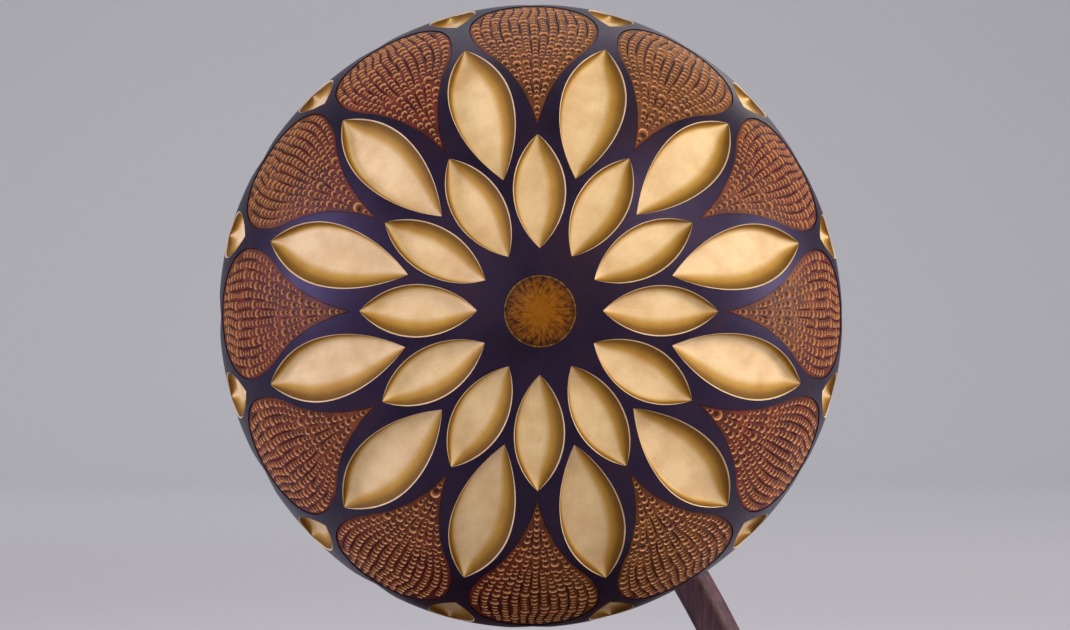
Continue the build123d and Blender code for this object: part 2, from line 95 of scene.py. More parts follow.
class ShellCover(IntEnum):
    """Order of the materials on the shell."""

    RIND = 0
    PETAL = 1
    FLESH = 2


class PanelCover(IntEnum):
    """Order of the materials on a drilled panel."""

    STAINED = 0
    # Near-black material of the grooves: painted shade.
    GROOVE_SHADE = 1


@dataclass
class Patch:
    """A stretch of surface in the gourd's own frame, flower end along +Z.

    Attributes:
        points: Vertex places, one row each.
        triangles: Vertex indices, one row for each triangle.
        normals: Vertex normals.
        material: Index of the material on the piece.
        tone: One value for each vertex that the material reads, such as the depth in a bowl.
        chart: Two values for each vertex that the material reads as a UV map, in metres.
    """

    points: np.ndarray
    triangles: np.ndarray
    normals: np.ndarray
    material: int
    tone: np.ndarray
    chart: np.ndarray


def make_patch(points: np.ndarray, triangles: np.ndarray, outward: np.ndarray, material: int,
               tone: np.ndarray | None = None, chart: np.ndarray | None = None) -> Patch:
    """Build a patch whose faces point outwards as a whole.

    The sum of the triangles' normals along the given outward directions decides whether all are turned over. A
    vertex normal is the sum of the area normals of the triangles that meet there.

    Args:
        points: Vertex places.
        triangles: Vertex indices of triangles that all turn the same way.
        outward: A rough outward direction for each vertex.
        material: Material index.
        tone: Value for each vertex, or None for zero.
        chart: UV values for each vertex, or None for zero.

    Returns:
        The finished patch.
    """
    corner = points[triangles]
    face = np.cross(corner[:, 1] - corner[:, 0], corner[:, 2] - corner[:, 0])
    if float((face * outward[triangles[:, 0]]).sum()) < 0:
        triangles = triangles[:, ::-1]
        face = -face
    normals = np.zeros_like(points)
    for column in range(3):
        np.add.at(normals, triangles[:, column], face)
    normals /= np.maximum(np.linalg.norm(normals, axis=1, keepdims=True), 1e-12)
    tone = np.zeros(len(points)) if tone is None else tone
    chart = np.zeros((len(points), 2)) if chart is None else chart
    return Patch(points, triangles, normals, material, tone, chart)


def grid_triangles(rows: int, columns: int, closed: bool) -> np.ndarray:
    """Two triangles for each cell of a grid of vertices numbered row by row.

    Args:
        rows: Number of rows.
        columns: Number of vertices in a row.
        closed: Whether each row closes on itself.

    Returns:
        Triangles as vertex indices.
    """
    row, column = np.meshgrid(np.arange(rows - 1), np.arange(columns if closed else columns - 1), indexing="ij")
    after = (column + 1) % columns
    a, b = row * columns + column, row * columns + after
    c, d = (row + 1) * columns + after, (row + 1) * columns + column
    return np.concatenate([np.stack([a, b, c], -1).reshape(-1, 3), np.stack([a, c, d], -1).reshape(-1, 3)])


def leaf_triangles(rows: int, columns: int) -> np.ndarray:
    """Triangles of a grid whose first and last rows each run to a tip, with the tips numbered after the grid.

    Args:
        rows: Number of rows.
        columns: Number of vertices in a row.

    Returns:
        Triangles as vertex indices.
    """
    count, step = rows * columns, np.arange(columns - 1)
    last = count - columns
    return np.concatenate([grid_triangles(rows, columns, closed=False),
                           np.stack([np.full_like(step, count), step + 1, step], -1),
                           np.stack([np.full_like(step, count + 1), last + step, last + step + 1], -1)])


def ring_edges(first: int, count: int) -> list[tuple[int, int]]:
    """Edges of a closed ring of places numbered from first."""
    return [(first + i, first + (i + 1) % count) for i in range(count)]


def inside(polygon: np.ndarray, places: np.ndarray) -> np.ndarray:
    """Tell which places lie inside a polygon, by the count of its edges that a level ray crosses.

    Args:
        polygon: Corners, one row each.
        places: Places to test.

    Returns:
        True for each place inside.
    """
    start, end = polygon, np.roll(polygon, -1, axis=0)
    x, y = places[:, None, 0], places[:, None, 1]
    spans = (start[None, :, 1] > y) != (end[None, :, 1] > y)
    rise = end[:, 1] - start[:, 1]
    rise = np.where(rise == 0, 1e-30, rise)
    crossing = start[:, 0] + (y - start[:, 1]) * (end[:, 0] - start[:, 0]) / rise
    return (spans & (x < crossing)).sum(1) % 2 == 1


def triangulate(places: np.ndarray, edges: list[tuple[int, int]]) -> np.ndarray:
    """Triangulate places in the plane with the given edges kept.

    Args:
        places: Places in the plane, in metres.
        edges: Pairs of indices.

    Returns:
        Triangles as indices of the places, all turning the same way.
    """
    spots = [Vector(p) for p in places * CDT_SCALE]
    _, _, faces, origin, _, _ = delaunay_2d_cdt(spots, edges, [], 0, CDT_TOLERANCE)
    index = np.array([o[0] if o else -1 for o in origin])
    triangles = index[np.array([list(f) for f in faces if len(f) == 3])]
    triangles = triangles[(triangles >= 0).all(1)]
    a, b, c = places[triangles[:, 0]], places[triangles[:, 1]], places[triangles[:, 2]]
    area = (b[:, 0] - a[:, 0]) * (c[:, 1] - a[:, 1]) - (b[:, 1] - a[:, 1]) * (c[:, 0] - a[:, 0])
    triangles[area < 0] = triangles[area < 0][:, ::-1]
    return triangles[np.abs(area) > LEAST_AREA]


def soft_least(first: np.ndarray, second: np.ndarray) -> np.ndarray:
    """The lesser of two lengths with a rounded change-over.

    It is one over the cube root of the sum of one over each length cubed, and is never more than either length.

    Args:
        first: Lengths of nought or more.
        second: Lengths of nought or more, of a shape that goes with the first.

    Returns:
        The lengths.
    """
    tiny = 1e-9
    return ((first + tiny) ** -3.0 + (second + tiny) ** -3.0) ** (-1 / 3) - tiny / 2 ** (1 / 3)


@dataclass(frozen=True)
class GourdForm:
    """Turned form of the gourd, in metres.

    Attributes:
        radius: Largest radius.
        front_depth: From the widest ring to the flower pole.
        rear_depth: From the widest ring to the rear pole, before the mouth is cut.
        wall: Thickness of the shell.
        mouth_radius: Radius of the cut mouth.
        eye_radius: Radius of the seat of the amber eye.
        eye_seat: Depth of that seat.
        eye_hole: Radius of the hole behind the eye.
        centre: Middle of the widest ring in the lamp's frame.
    """

    radius: float = 120 * MM
    front_depth: float = 98 * MM
    rear_depth: float = 107 * MM
    wall: float = 7 * MM
    mouth_radius: float = 42 * MM
    eye_radius: float = 13 * MM
    eye_seat: float = 4.5 * MM
    eye_hole: float = 10 * MM
    centre: tuple[float, float, float] = (0.0, -45 * MM, 184 * MM)

    @property
    def eye_angle(self) -> float:
        """Meridian angle of the edge of the eye's seat."""
        return math.asin(self.eye_radius / self.radius)

    @property
    def mouth_angle(self) -> float:
        """Meridian angle of the edge of the mouth."""
        return math.pi - math.asin(self.mouth_radius / self.radius)

    def depth(self, forward: np.ndarray) -> np.ndarray:
        """Half axis along: the front one where the value is nought or more, and the rear one elsewhere."""
        return np.where(forward >= 0, self.front_depth, self.rear_depth)

    def surface(self, angle: np.ndarray, turn: np.ndarray) -> np.ndarray:
        """Places on the gourd: radius times the sine of the angle outwards, depth times its cosine along.

        Args:
            angle: Angle on the meridian ellipse from the flower pole.
            turn: Turn about the axis.

        Returns:
            Places in the gourd's own frame.
        """
        ring = self.radius * np.sin(angle)
        return np.stack([ring * np.cos(turn), ring * np.sin(turn), self.depth(np.cos(angle)) * np.cos(angle)], -1)

    def angles(self, points: np.ndarray) -> tuple[np.ndarray, np.ndarray]:
        """Meridian angle and turn of places on the gourd, the reverse of surface.

        Args:
            points: Places in the gourd's own frame.

        Returns:
            Angles and turns.
        """
        ring = np.hypot(points[..., 0], points[..., 1])
        return (np.arctan2(ring / self.radius, points[..., 2] / self.depth(points[..., 2])),
                np.arctan2(points[..., 1], points[..., 0]))

    def outward(self, points: np.ndarray) -> np.ndarray:
        """Outward directions: the slope of the sum of squares of each place over the half axes.

        Args:
            points: Places in the gourd's own frame.

        Returns:
            Unit directions.
        """
        depth = self.depth(points[..., 2:3])
        slope = points / np.concatenate([np.full_like(depth, self.radius)] * 2 + [depth], -1) ** 2
        return slope / np.linalg.norm(slope, axis=-1, keepdims=True)

    def hand_carved(self, points: np.ndarray) -> np.ndarray:
        """Shift places a little over the gourd, as a pattern marked out by hand wanders on a form that swells.

        The shifts along, across and outwards are slow waves of the turn and the angle. They fade to nothing at
        the eye and the mouth.

        Args:
            points: Places in the gourd's own frame.

        Returns:
            The shifted places.
        """
        angle, turn = self.angles(points)
        fade = (np.clip((angle - self.eye_angle) / EYE_FADE, 0, 1)
                * np.clip((self.mouth_angle - angle) / MOUTH_FADE, 0, 1))
        sideways = np.stack([-np.sin(turn), np.cos(turn), np.zeros_like(turn)], -1)
        lengthways = np.cross(sideways, self.outward(points))
        across = WANDER * waves(ACROSS_WAVES, turn, angle)
        along = WANDER * waves(ALONG_WAVES, turn, angle)
        swell = SWELL * waves(SWELL_WAVES, turn, angle)
        shift = sideways * across[..., None] + lengthways * along[..., None]
        return points + (shift + self.outward(points) * swell[..., None]) * fade[..., None]

    def to_lamp(self, points: np.ndarray) -> np.ndarray:
        """Lay the gourd's own frame into the lamp's: the flower end faces -Y and its Y is up."""
        x, y, z = self.centre
        return np.stack([points[:, 0] + x, y - points[:, 2], points[:, 1] + z], -1)


@dataclass(frozen=True)
class Cell:
    """One ring of carved leaves: where they are widest, and their lengths as shares of the gourd's radius.

    Attributes:
        angle: Meridian angle in degrees of the widest place.
        turn_share: Turn of the first leaf as a share of a sector.
        before_share: Length from the widest place towards the flower pole.
        after_share: Length from there towards the mouth.
        width_share: Half width.
        knee_share: Place of the knee before the widest place, or zero where there is none.
        knee_width_share: Half width at the knee.
        stations: Points along each side.
        form: The gourd.
    """

    angle: float
    turn_share: float
    before_share: float
    after_share: float
    width_share: float
    knee_share: float = 0.0
    knee_width_share: float = 0.0
    stations: int = 27
    form: GourdForm = GourdForm()

    def arcs(self, u: np.ndarray) -> np.ndarray:
        """Half width along the leaf by its arcs.

        The outer arc is level at the widest place and ends at the outer tip. Without a knee the inner one does
        the same. With a knee the first inner arc ends there, and a second one, with its centre on the line
        through the knee and the first one's centre, goes on to the inner tip and follows the neighbour.

        Args:
            u: Places along the leaf.

        Returns:
            Half widths.
        """
        radius = self.form.radius
        before, after, width = (s * radius for s in (self.before_share, self.after_share, self.width_share))
        reach = np.where(u < 0, before, after)
        arc = (reach ** 2 + width ** 2) / (2 * width)
        plain = width - arc + np.sqrt(np.maximum(arc ** 2 - u ** 2, 0))
        if not self.knee_share:
            return plain
        knee, knee_width = self.knee_share * radius, self.knee_width_share * radius
        arc = (knee ** 2 + (width - knee_width) ** 2) / (2 * (width - knee_width))
        shoulder = width - arc + np.sqrt(np.maximum(arc ** 2 - u ** 2, 0))
        inward = np.array([knee, width - arc - knee_width]) / arc
        to_tip = np.array([knee - before, -knee_width])
        hollow = to_tip @ to_tip / (2 * (inward @ to_tip))
        middle = np.array([-knee, knee_width]) + inward * hollow
        side = -1.0 if middle[1] > knee_width else 1.0
        flank = middle[1] + side * np.sqrt(np.maximum(hollow ** 2 - (u - middle[0]) ** 2, 0))
        return np.where(u >= 0, plain, np.where(u >= -knee, shoulder, flank))

    def profile(self, gap: float) -> tuple[np.ndarray, np.ndarray]:
        """Outline of the leaf drawn in by a gap: each place is moved along the outline's normal.

        Args:
            gap: How far the outline is drawn in.

        Returns:
            Places along the leaf, and the half widths there.
        """
        before, after = self.before_share * self.form.radius, self.after_share * self.form.radius
        u = (1 - np.cos(np.linspace(0, math.pi, PROFILE_POINTS))) / 2 * (before + after) - before
        h = np.maximum(self.arcs(u), 0)
        rise, run = np.gradient(h), np.gradient(u)
        length = np.hypot(rise, run)
        u, h = u + gap * rise / length, h - gap * run / length
        kept = np.flatnonzero(h > 0)
        first, last = kept[0], kept[-1]
        start = np.interp(0, h[first - 1:first + 1], u[first - 1:first + 1]) if first else u[0]
        end = np.interp(0, h[last:last + 2][::-1], u[last:last + 2][::-1]) if last + 1 < len(h) else u[-1]
        return (np.concatenate([[start], u[first:last + 1], [end]]),
                np.concatenate([[0.0], h[first:last + 1], [0.0]]))

    def lengths(self, gap: float = 0.0) -> tuple[float, float, float]:
        """Length before and after the widest place and half width, all drawn in by a gap."""
        u, h = self.profile(gap)
        return -float(u[0]), float(u[-1]), float(h.max())

    def half_width(self, u: np.ndarray, gap: float = 0.0) -> np.ndarray:
        """Half width along the leaf drawn in by a gap."""
        places, widths = self.profile(gap)
        return np.interp(u, places, widths)

    def along_stations(self, gap: float = 0.0) -> np.ndarray:
        """Places along the leaf between its tips, closer together near them.

        Args:
            gap: How far the outline is drawn in.

        Returns:
            Places along the leaf.
        """
        before, after, _ = self.lengths(gap)
        even = np.linspace(0, 1, self.stations + 2)
        share = TIP_SHARE * (1 - np.cos(even * math.pi)) / 2 + EVEN_SHARE * even
        return (share * (before + after) - before)[1:-1]

    def plane(self, turn: float) -> tuple[np.ndarray, np.ndarray, np.ndarray, np.ndarray]:
        """Plane that touches the gourd at the leaf's widest place.

        Args:
            turn: Turn of the leaf about the axis.

        Returns:
            Place, direction along, direction across and outward normal.
        """
        t = math.radians(self.angle)
        radius, depth = self.form.radius, self.form.front_depth if self.angle <= 90 else self.form.rear_depth
        along = np.array([radius * math.cos(t), 0.0, -depth * math.sin(t)])
        along /= np.linalg.norm(along)
        place = np.array([radius * math.sin(t), 0.0, depth * math.cos(t)])
        normal = np.array([-along[2], 0.0, along[0]])
        across = np.array([0.0, 1.0, 0.0])
        c, s = math.cos(turn), math.sin(turn)
        spin = np.array([[c, -s, 0], [s, c, 0], [0, 0, 1]])
        return spin @ place, spin @ along, spin @ across, spin @ normal

    def seat(self, turn: float, u: np.ndarray, v: np.ndarray, inset: np.ndarray | float) -> np.ndarray:
        """Seat places of the plane on the gourd along the plane's normal.

        The crossing of each line with the inset half ellipse is the larger root of a quadratic. The front half
        ellipse counts where it gives a place in front of the widest ring, and the rear one elsewhere.

        Args:
            turn: Turn of the leaf about the axis.
            u: Places along the leaf.
            v: Places across the leaf.
            inset: Depth below the skin.

        Returns:
            Places in the gourd's own frame.
        """
        form = self.form
        place, along, across, normal = self.plane(turn)
        inset = np.broadcast_to(np.asarray(inset, dtype=float), u.shape)
        base = place + u[..., None] * along + v[..., None] * across
        found = []
        for depth in (form.front_depth, form.rear_depth):
            axes = np.stack([form.radius - inset, form.radius - inset, depth - inset], -1)
            scaled, slope = base / axes, normal / axes
            a = (slope ** 2).sum(-1)
            b = 2 * (scaled * slope).sum(-1)
            c = (scaled ** 2).sum(-1) - 1
            root = (-b + np.sqrt(np.maximum(b ** 2 - 4 * a * c, 0))) / (2 * a)
            found.append(base + root[..., None] * normal)
        return np.where(found[0][..., 2:3] >= 0, found[0], found[1])

    def turns(self) -> list[float]:
        """Turn of each leaf of the ring."""
        return [(copy + self.turn_share) * SECTOR for copy in range(SECTORS)]

    def outline(self, gap: float = 0.0) -> tuple[np.ndarray, np.ndarray]:
        """Closed outline from the inner tip along the +across side to the outer tip and back.

        Args:
            gap: How far the outline is drawn in.

        Returns:
            Places along the leaf and across it.
        """
        before, after, _ = self.lengths(gap)
        u = self.along_stations(gap)
        h = self.half_width(u, gap)
        return (np.concatenate([[-before], u, [after], u[::-1]]),
                np.concatenate([[0.0], h, [0.0], -h[::-1]]))

    def skin_outline(self) -> np.ndarray:
        """Turn and meridian angle of each point of the unturned leaf's outline."""
        angle, turn = self.form.angles(self.seat(0.0, *self.outline(), 0.0))
        return np.stack([turn, angle], -1)


def merge(name: str, patches: list[Patch], form: GourdForm) -> bpy.types.Object:
    """Join patches into one welded mesh object with each patch's own normals kept.

    Args:
        name: Name of the piece.
        patches: Patches in the gourd's own frame.
        form: The gourd, which lays them into the lamp's frame.

    Returns:
        The new object, linked to the scene.
    """
    offsets = np.cumsum([0] + [len(p.points) for p in patches[:-1]])
    points = form.to_lamp(np.concatenate([form.hand_carved(p.points) for p in patches]))
    turned = np.concatenate([p.normals for p in patches])
    normals = np.stack([turned[:, 0], -turned[:, 2], turned[:, 1]], -1)
    triangles = np.concatenate([p.triangles + o for p, o in zip(patches, offsets)])
    material = np.concatenate([np.full(len(p.triangles), int(p.material)) for p in patches])
    tone = np.concatenate([p.tone for p in patches])
    chart = np.concatenate([p.chart for p in patches])
    _, first, welded = np.unique(np.round(points / WELD).astype(np.int64), axis=0, return_index=True,
                                 return_inverse=True)
    joined = welded.reshape(-1)[triangles]
    sound = (joined[:, 0] != joined[:, 1]) & (joined[:, 1] != joined[:, 2]) & (joined[:, 2] != joined[:, 0])
    joined, triangles, material = joined[sound], triangles[sound], material[sound]
    mesh = bpy.data.meshes.new(name)
    mesh.vertices.add(len(first))
    mesh.vertices.foreach_set("co", points[first].astype(np.float32).reshape(-1))
    mesh.loops.add(joined.size)
    mesh.loops.foreach_set("vertex_index", joined.reshape(-1).astype(np.int32))
    mesh.polygons.add(len(joined))
    mesh.polygons.foreach_set("loop_start", np.arange(0, joined.size, 3, dtype=np.int32))
    mesh.polygons.foreach_set("material_index", material.astype(np.int32))
    mesh.update(calc_edges=True)
    corners = triangles.reshape(-1)
    layer = mesh.uv_layers.new(name="chart")
    layer.data.foreach_set("uv", chart[corners].astype(np.float32).reshape(-1))
    attribute = mesh.attributes.new("tone", "FLOAT", "CORNER")
    attribute.data.foreach_set("value", tone[corners].astype(np.float32))
    mesh.polygons.foreach_set("use_smooth", np.ones(len(joined), dtype=bool))
    mesh.normals_split_custom_set(normals[corners].astype(np.float32))
    piece = bpy.data.objects.new(name, mesh)
    bpy.context.scene.collection.objects.link(piece)
    LOG.info("%s: %d vertices, %d triangles", name, len(first), len(joined))
    return piece


@dataclass(frozen=True)
class ScoopedPetals:
    """Ring of scooped petals, and their section: distances in from the edges and the share of the depth there.

    One flank falls fast. The other is a long slope, as a gouge that is led along one side leaves it.

    Attributes:
        cell: The leaves.
        depth: Most depth of the floor in the middle.
        depth_share: Depth as a share of the half width, where that is less.
        steep: Distances from the edge on the fast side, in metres.
        steep_caps: The most that each of them may be, as a share of the half width.
        steep_falls: Share of the depth at each of them.
        slope: Distances from the edge on the slow side, in metres.
        slope_caps: The most that each of them may be, as a share of the half width.
        slope_falls: Share of the depth at each of them.
        floor_places: Places on the floor, as shares of the half width, the slow side positive.
        floor_falls: Share of the depth at each of them.
        slow_side: Direction in the gourd's own frame that the slow side is turned to.
        fade: Share of the widest half width at which the full depth is reached.
    """

    cell: Cell
    depth: float = 4.2 * MM
    depth_share: float = 0.39
    steep: tuple[float, ...] = (0.0, 0.25 * MM, 0.50 * MM, 0.95 * MM, 1.6 * MM, 2.7 * MM)
    steep_caps: tuple[float, ...] = (0.0, 0.05, 0.10, 0.19, 0.32, 0.50)
    steep_falls: tuple[float, ...] = (0.0, 0.04, 0.30, 0.66, 0.88, 0.97)
    slope: tuple[float, ...] = (0.0, 0.28 * MM, 0.9 * MM, 2.6 * MM, 5.0 * MM, 8.0 * MM)
    slope_caps: tuple[float, ...] = (0.0, 0.05, 0.14, 0.38, 0.70, 1.02)
    slope_falls: tuple[float, ...] = (0.0, 0.04, 0.24, 0.52, 0.78, 0.95)
    floor_places: tuple[float, ...] = (-0.12, -0.25, -0.38)
    floor_falls: tuple[float, ...] = (0.99, 1.0, 0.99)
    slow_side: tuple[float, float, float] = (1.0, -0.45, 0.0)
    fade: float = 0.62

    def patch(self, turn: float) -> Patch:
        """One scooped petal.

        At each station along the leaf the section falls from both edges by its shares. Its depth follows a
        quarter sine of the leaf's width and so fades to nothing towards the tips.

        Args:
            turn: The leaf's turn about the axis.

        Returns:
            The petal's surface.
        """
        cell, form = self.cell, self.cell.form
        before, after, width = cell.lengths()
        u = cell.along_stations()
        h = cell.half_width(u)
        side = 1.0 if cell.plane(turn)[2] @ np.array(self.slow_side) > 0 else -1.0
        slope = h[:, None] - soft_least(np.array(self.slope), h[:, None] * self.slope_caps)
        steep = h[:, None] - soft_least(np.array(self.steep), h[:, None] * self.steep_caps)
        across = side * np.concatenate([slope, h[:, None] * self.floor_places, -steep[:, ::-1]], 1)
        fall = np.array(self.slope_falls + self.floor_falls + self.steep_falls[::-1])
        fade = np.sin(np.clip(h / (self.fade * width), 0, 1) * math.pi / 2)
        inset = min(self.depth, self.depth_share * width) * fall * fade[:, None]
        along = np.repeat(u[:, None], across.shape[1], 1)
        points = np.concatenate([cell.seat(turn, along, across, inset).reshape(-1, 3),
                                 cell.seat(turn, np.array([-before, after]), np.zeros(2), 0.0)])
        tone = np.concatenate([np.tile(fall, (len(u), 1)).reshape(-1), [0.0, 0.0]])
        chart = np.stack([np.concatenate([along.reshape(-1), [-before, after]]),
                          np.concatenate([across.reshape(-1), [0.0, 0.0]])], -1)
        chart[:, 0] += turn * form.radius
        return make_patch(points, leaf_triangles(*across.shape), form.outward(points), ShellCover.PETAL, tone, chart)


@dataclass(frozen=True)
class PanelPlan:
    """Flat plan of one drilled panel.

    Attributes:
        flat: Places of the face.
        sunk: Depth of each of them below the face.
        triangles: Triangles of the face round the bowls.
        middle: Middles of the bowls.
        radius: Their radii.
        rim: Corners of each bowl's rim.
    """

    flat: np.ndarray
    sunk: np.ndarray
    triangles: np.ndarray
    middle: np.ndarray
    radius: np.ndarray
    rim: np.ndarray


@dataclass(frozen=True)
class DrilledPanels:
    """Ring of panels drilled in rows, each set in a pocket of the shell.

    Attributes:
        cell: The leaves.
        rows: Number of row lanes across a panel, an even number.
        sunk: Depth of its face below the skin.
        thickness: Depth of its pocket below the skin.
        gap: Gap round it in its pocket.
        chamfer: Width of its broken edge.
        floor_shares: Places across the pocket's floor, as shares of the half width.
        reach: Spread of the rows as a share of the half width.
        gather: Share by which the rows draw together between the widest place and the outer tip.
        waver: Waver of a row as a share of the spread.
        waver_start: How far before the widest place it starts, in half widths.
        bowl_share: Bowl diameter as a share of the distance between rows.
        closest: Least distance between rows; where lanes come closer, every second one ends.
        most_halvings: Most times that every second one ends.
        least_lane: Least usual diameter, as a share of that distance.
        most: Limit of the bowl diameter.
        spacing: Distance between bowls in a row, in diameters.
        start_scatter: How far from the tip a row may start.
        hunt_step: Step by which a row looks for its next place.
        scatter: Sizes of the drills, as shares of the usual one.
        scatter_odds: How often each of them is taken.
        least_share: Least size of a bowl that is made smaller to fit between others, as a share of its own.
        look_ahead: How far outwards the narrowing edge is looked at, in bowl radii.
        edge_bridge: Face left between a bowl and the edge.
        tip_bridge: Face left between a bowl and the outer tip.
        bowl_bridge: Face left between bowls, and between a bowl and a groove.
        bowl_rings: Radii of a bowl's rings, as shares of its own.
        bowl_falls: Their depths, as shares of the radius.
        bowl_depth: Depth of the middle, as a share of the radius.
        bowl_tones: Tones of the rings and the middle, which the material turns into painted shade that deepens
            towards the bottom.
        floor_left: Face left under the deepest bowl.
        sides: Sides of a bowl.
        groove: Half width of the groove between rows.
        groove_depth: Depth of that groove.
        groove_step: Distance between its stations.
        groove_stations: Least number of them.
        groove_clear: Face left between a groove and the edge.
        kinds: Different panels in a ring, which take turns.
    """

    cell: Cell
    rows: int
    sunk: float = 0.35 * MM
    thickness: float = 3.6 * MM
    gap: float = 0.12 * MM
    chamfer: float = 0.30 * MM
    floor_shares: tuple[float, ...] = (1.0, 0.5, 0.0, -0.5, -1.0)
    reach: float = 1.07
    gather: float = 0.25
    waver: float = 0.035
    waver_start: float = 0.25
    bowl_share: float = 0.66
    closest: float = 2.2 * MM
    most_halvings: int = 5
    least_lane: float = 0.4
    most: float = 3.3 * MM
    spacing: float = 1.28
    start_scatter: float = 1.5 * MM
    hunt_step: float = 0.25 * MM
    scatter: tuple[float, ...] = (0.66, 0.88, 1.05, 1.38)
    scatter_odds: tuple[float, ...] = (0.20, 0.34, 0.32, 0.14)
    least_share: float = 0.55
    look_ahead: float = 1.6
    edge_bridge: float = 0.30 * MM
    tip_bridge: float = 0.4 * MM
    bowl_bridge: float = 0.12 * MM
    bowl_rings: tuple[float, ...] = (1.0, 0.82, 0.54)
    bowl_falls: tuple[float, ...] = (0.0, 0.38, 0.64)
    bowl_depth: float = 0.72
    bowl_tones: tuple[float, ...] = (0.56, 0.78, 0.94, 1.0)
    floor_left: float = 0.4 * MM
    sides: int = 8
    groove: float = 0.22 * MM
    groove_depth: float = 0.30 * MM
    groove_step: float = 1.3 * MM
    groove_stations: int = 4
    groove_clear: float = 0.9 * MM
    kinds: int = 3

    @property
    def inset(self) -> float:
        """How far the face's outline lies inside the pocket's."""
        return self.gap + self.chamfer

    @cached_property
    def lengths(self) -> tuple[float, float, float]:
        """Length of the face before and after the widest place, and its half width."""
        return self.cell.lengths(self.inset)

    @cached_property
    def profile(self) -> tuple[np.ndarray, np.ndarray]:
        """Places along the face's outline, and the half widths there."""
        return self.cell.profile(self.inset)

    def pocket(self, turn: float) -> list[Patch]:
        """Upright wall and level floor of the pocket that a panel is set in.

        Args:
            turn: The leaf's turn about the axis.

        Returns:
            The wall and the floor.
        """
        cell, form = self.cell, self.cell.form
        u, v = cell.outline()
        rings = np.concatenate([cell.seat(turn, u, v, depth) for depth in (0.0, self.thickness)])
        inward = cell.seat(turn, np.zeros(1), np.zeros(1), 0.0) - rings
        wall = make_patch(rings, grid_triangles(2, len(u), closed=True), inward, ShellCover.RIND)
        stations = cell.along_stations()
        across = cell.half_width(stations)[:, None] * np.array(self.floor_shares)
        along = np.repeat(stations[:, None], across.shape[1], 1)
        before, after, _ = cell.lengths()
        points = np.concatenate([cell.seat(turn, along, across, self.thickness).reshape(-1, 3),
                                 cell.seat(turn, np.array([-before, after]), np.zeros(2), self.thickness)])
        return [wall, make_patch(points, leaf_triangles(*across.shape), form.outward(points), ShellCover.RIND)]

    def lanes(self, u: np.ndarray) -> tuple[np.ndarray, np.ndarray]:
        """Half spread of the rows and the stride between those that run, at places along the panel.

        Up to the widest place the rows keep their share of the half width and fan out. After it they draw
        together a little, and the outline cuts them off. The stride is the least power of two that keeps the
        running rows far enough apart.

        Args:
            u: Places along the panel.

        Returns:
            Half spreads and strides.
        """
        _, after, width = self.lengths
        outer = width * (1 - self.gather * (np.maximum(u, 0) / after) ** 2)
        spread = self.reach * np.where(u < 0, np.interp(u, *self.profile), outer)
        lane = np.maximum(2 * spread / self.rows, 1e-6)
        return spread, 2.0 ** np.clip(np.ceil(np.log2(self.closest / lane)), 0, self.most_halvings)

    def wander(self, u: float | np.ndarray, share: float) -> float | np.ndarray:
        """Sideways waver of a row: two waves that grow towards the outer tip.

        Args:
            u: Places along the panel.
            share: Place of the row across the panel, from -1 to 1.

        Returns:
            The waver as a share of the half spread.
        """
        width = self.lengths[2]
        grow = np.clip(self.waver_start + u / width, 0, 1)
        return self.waver * grow * waves(ROW_WAVES, u / width, share) * (1 - share ** 2)

    def bowl_places(self, draw: np.random.Generator) -> tuple[np.ndarray, np.ndarray]:
        """Middles and radii of the bowls of one panel, row by row.

        Args:
            draw: Seeded random numbers for the small scatter of a hand drill.

        Returns:
            Middles, and radii.
        """
        before, after, width = self.lengths
        dense = np.linspace(-before, after, LANE_POINTS)
        spreads, strides = self.lanes(dense)
        middles, radii = [], []
        for lane in range(1, self.rows):
            share = 2 * lane / self.rows - 1
            u = -before + draw.uniform(0, self.start_scatter)
            while u < after:
                spread, stride = np.interp(u, dense, spreads), strides[np.searchsorted(dense, u)]
                diameter = min(self.bowl_share * 2 * spread / self.rows * stride, self.most)
                if (lane - self.rows // 2) % stride or diameter < self.least_lane * self.closest:
                    u += self.hunt_step
                    continue
                diameter *= draw.choice(self.scatter, p=self.scatter_odds)
                radius = diameter / 2
                v = (share + self.wander(u + radius, share)) * spread
                edge, ahead = (np.interp(u + far * radius, *self.profile) for far in (1, self.look_ahead))
                room = edge + min(ahead - edge, 0.0) - abs(v)
                apart = min((math.hypot(u + radius - x, v - y) - other for (x, y), other in zip(middles, radii)),
                            default=width)
                fitting = min(radius, room - self.edge_bridge, apart - self.bowl_bridge)
                if fitting > self.least_share * radius and u + 2 * radius + self.tip_bridge < after:
                    middles.append((u + radius, v))
                    radii.append(fitting)
                u += self.spacing * diameter
        return np.array(middles), np.array(radii)

    def groove_line(self, u: np.ndarray, v: np.ndarray) -> tuple[np.ndarray, np.ndarray, list[tuple[int, int]]]:
        """One groove: its bottom, and an edge on each side that meets it at both ends.

        Args:
            u: Places of its middle along the panel.
            v: Places of its middle across the panel.

        Returns:
            Places, their depths and the edges between them.
        """
        count = len(u)
        inner = slice(1, count - 1)
        places = np.concatenate([np.stack([u, v], -1), np.stack([u[inner], v[inner] - self.groove], -1),
                                 np.stack([u[inner], v[inner] + self.groove], -1)])
        depth = np.full(count, self.groove_depth)
        depth[[0, -1]] = 0
        left = [0, *range(count, 2 * count - 2), count - 1]
        right = [0, *range(2 * count - 2, 3 * count - 4), count - 1]
        links = [pair for line in (list(range(count)), left, right) for pair in zip(line[:-1], line[1:])]
        return places, np.concatenate([depth, np.zeros(2 * (count - 2))]), links

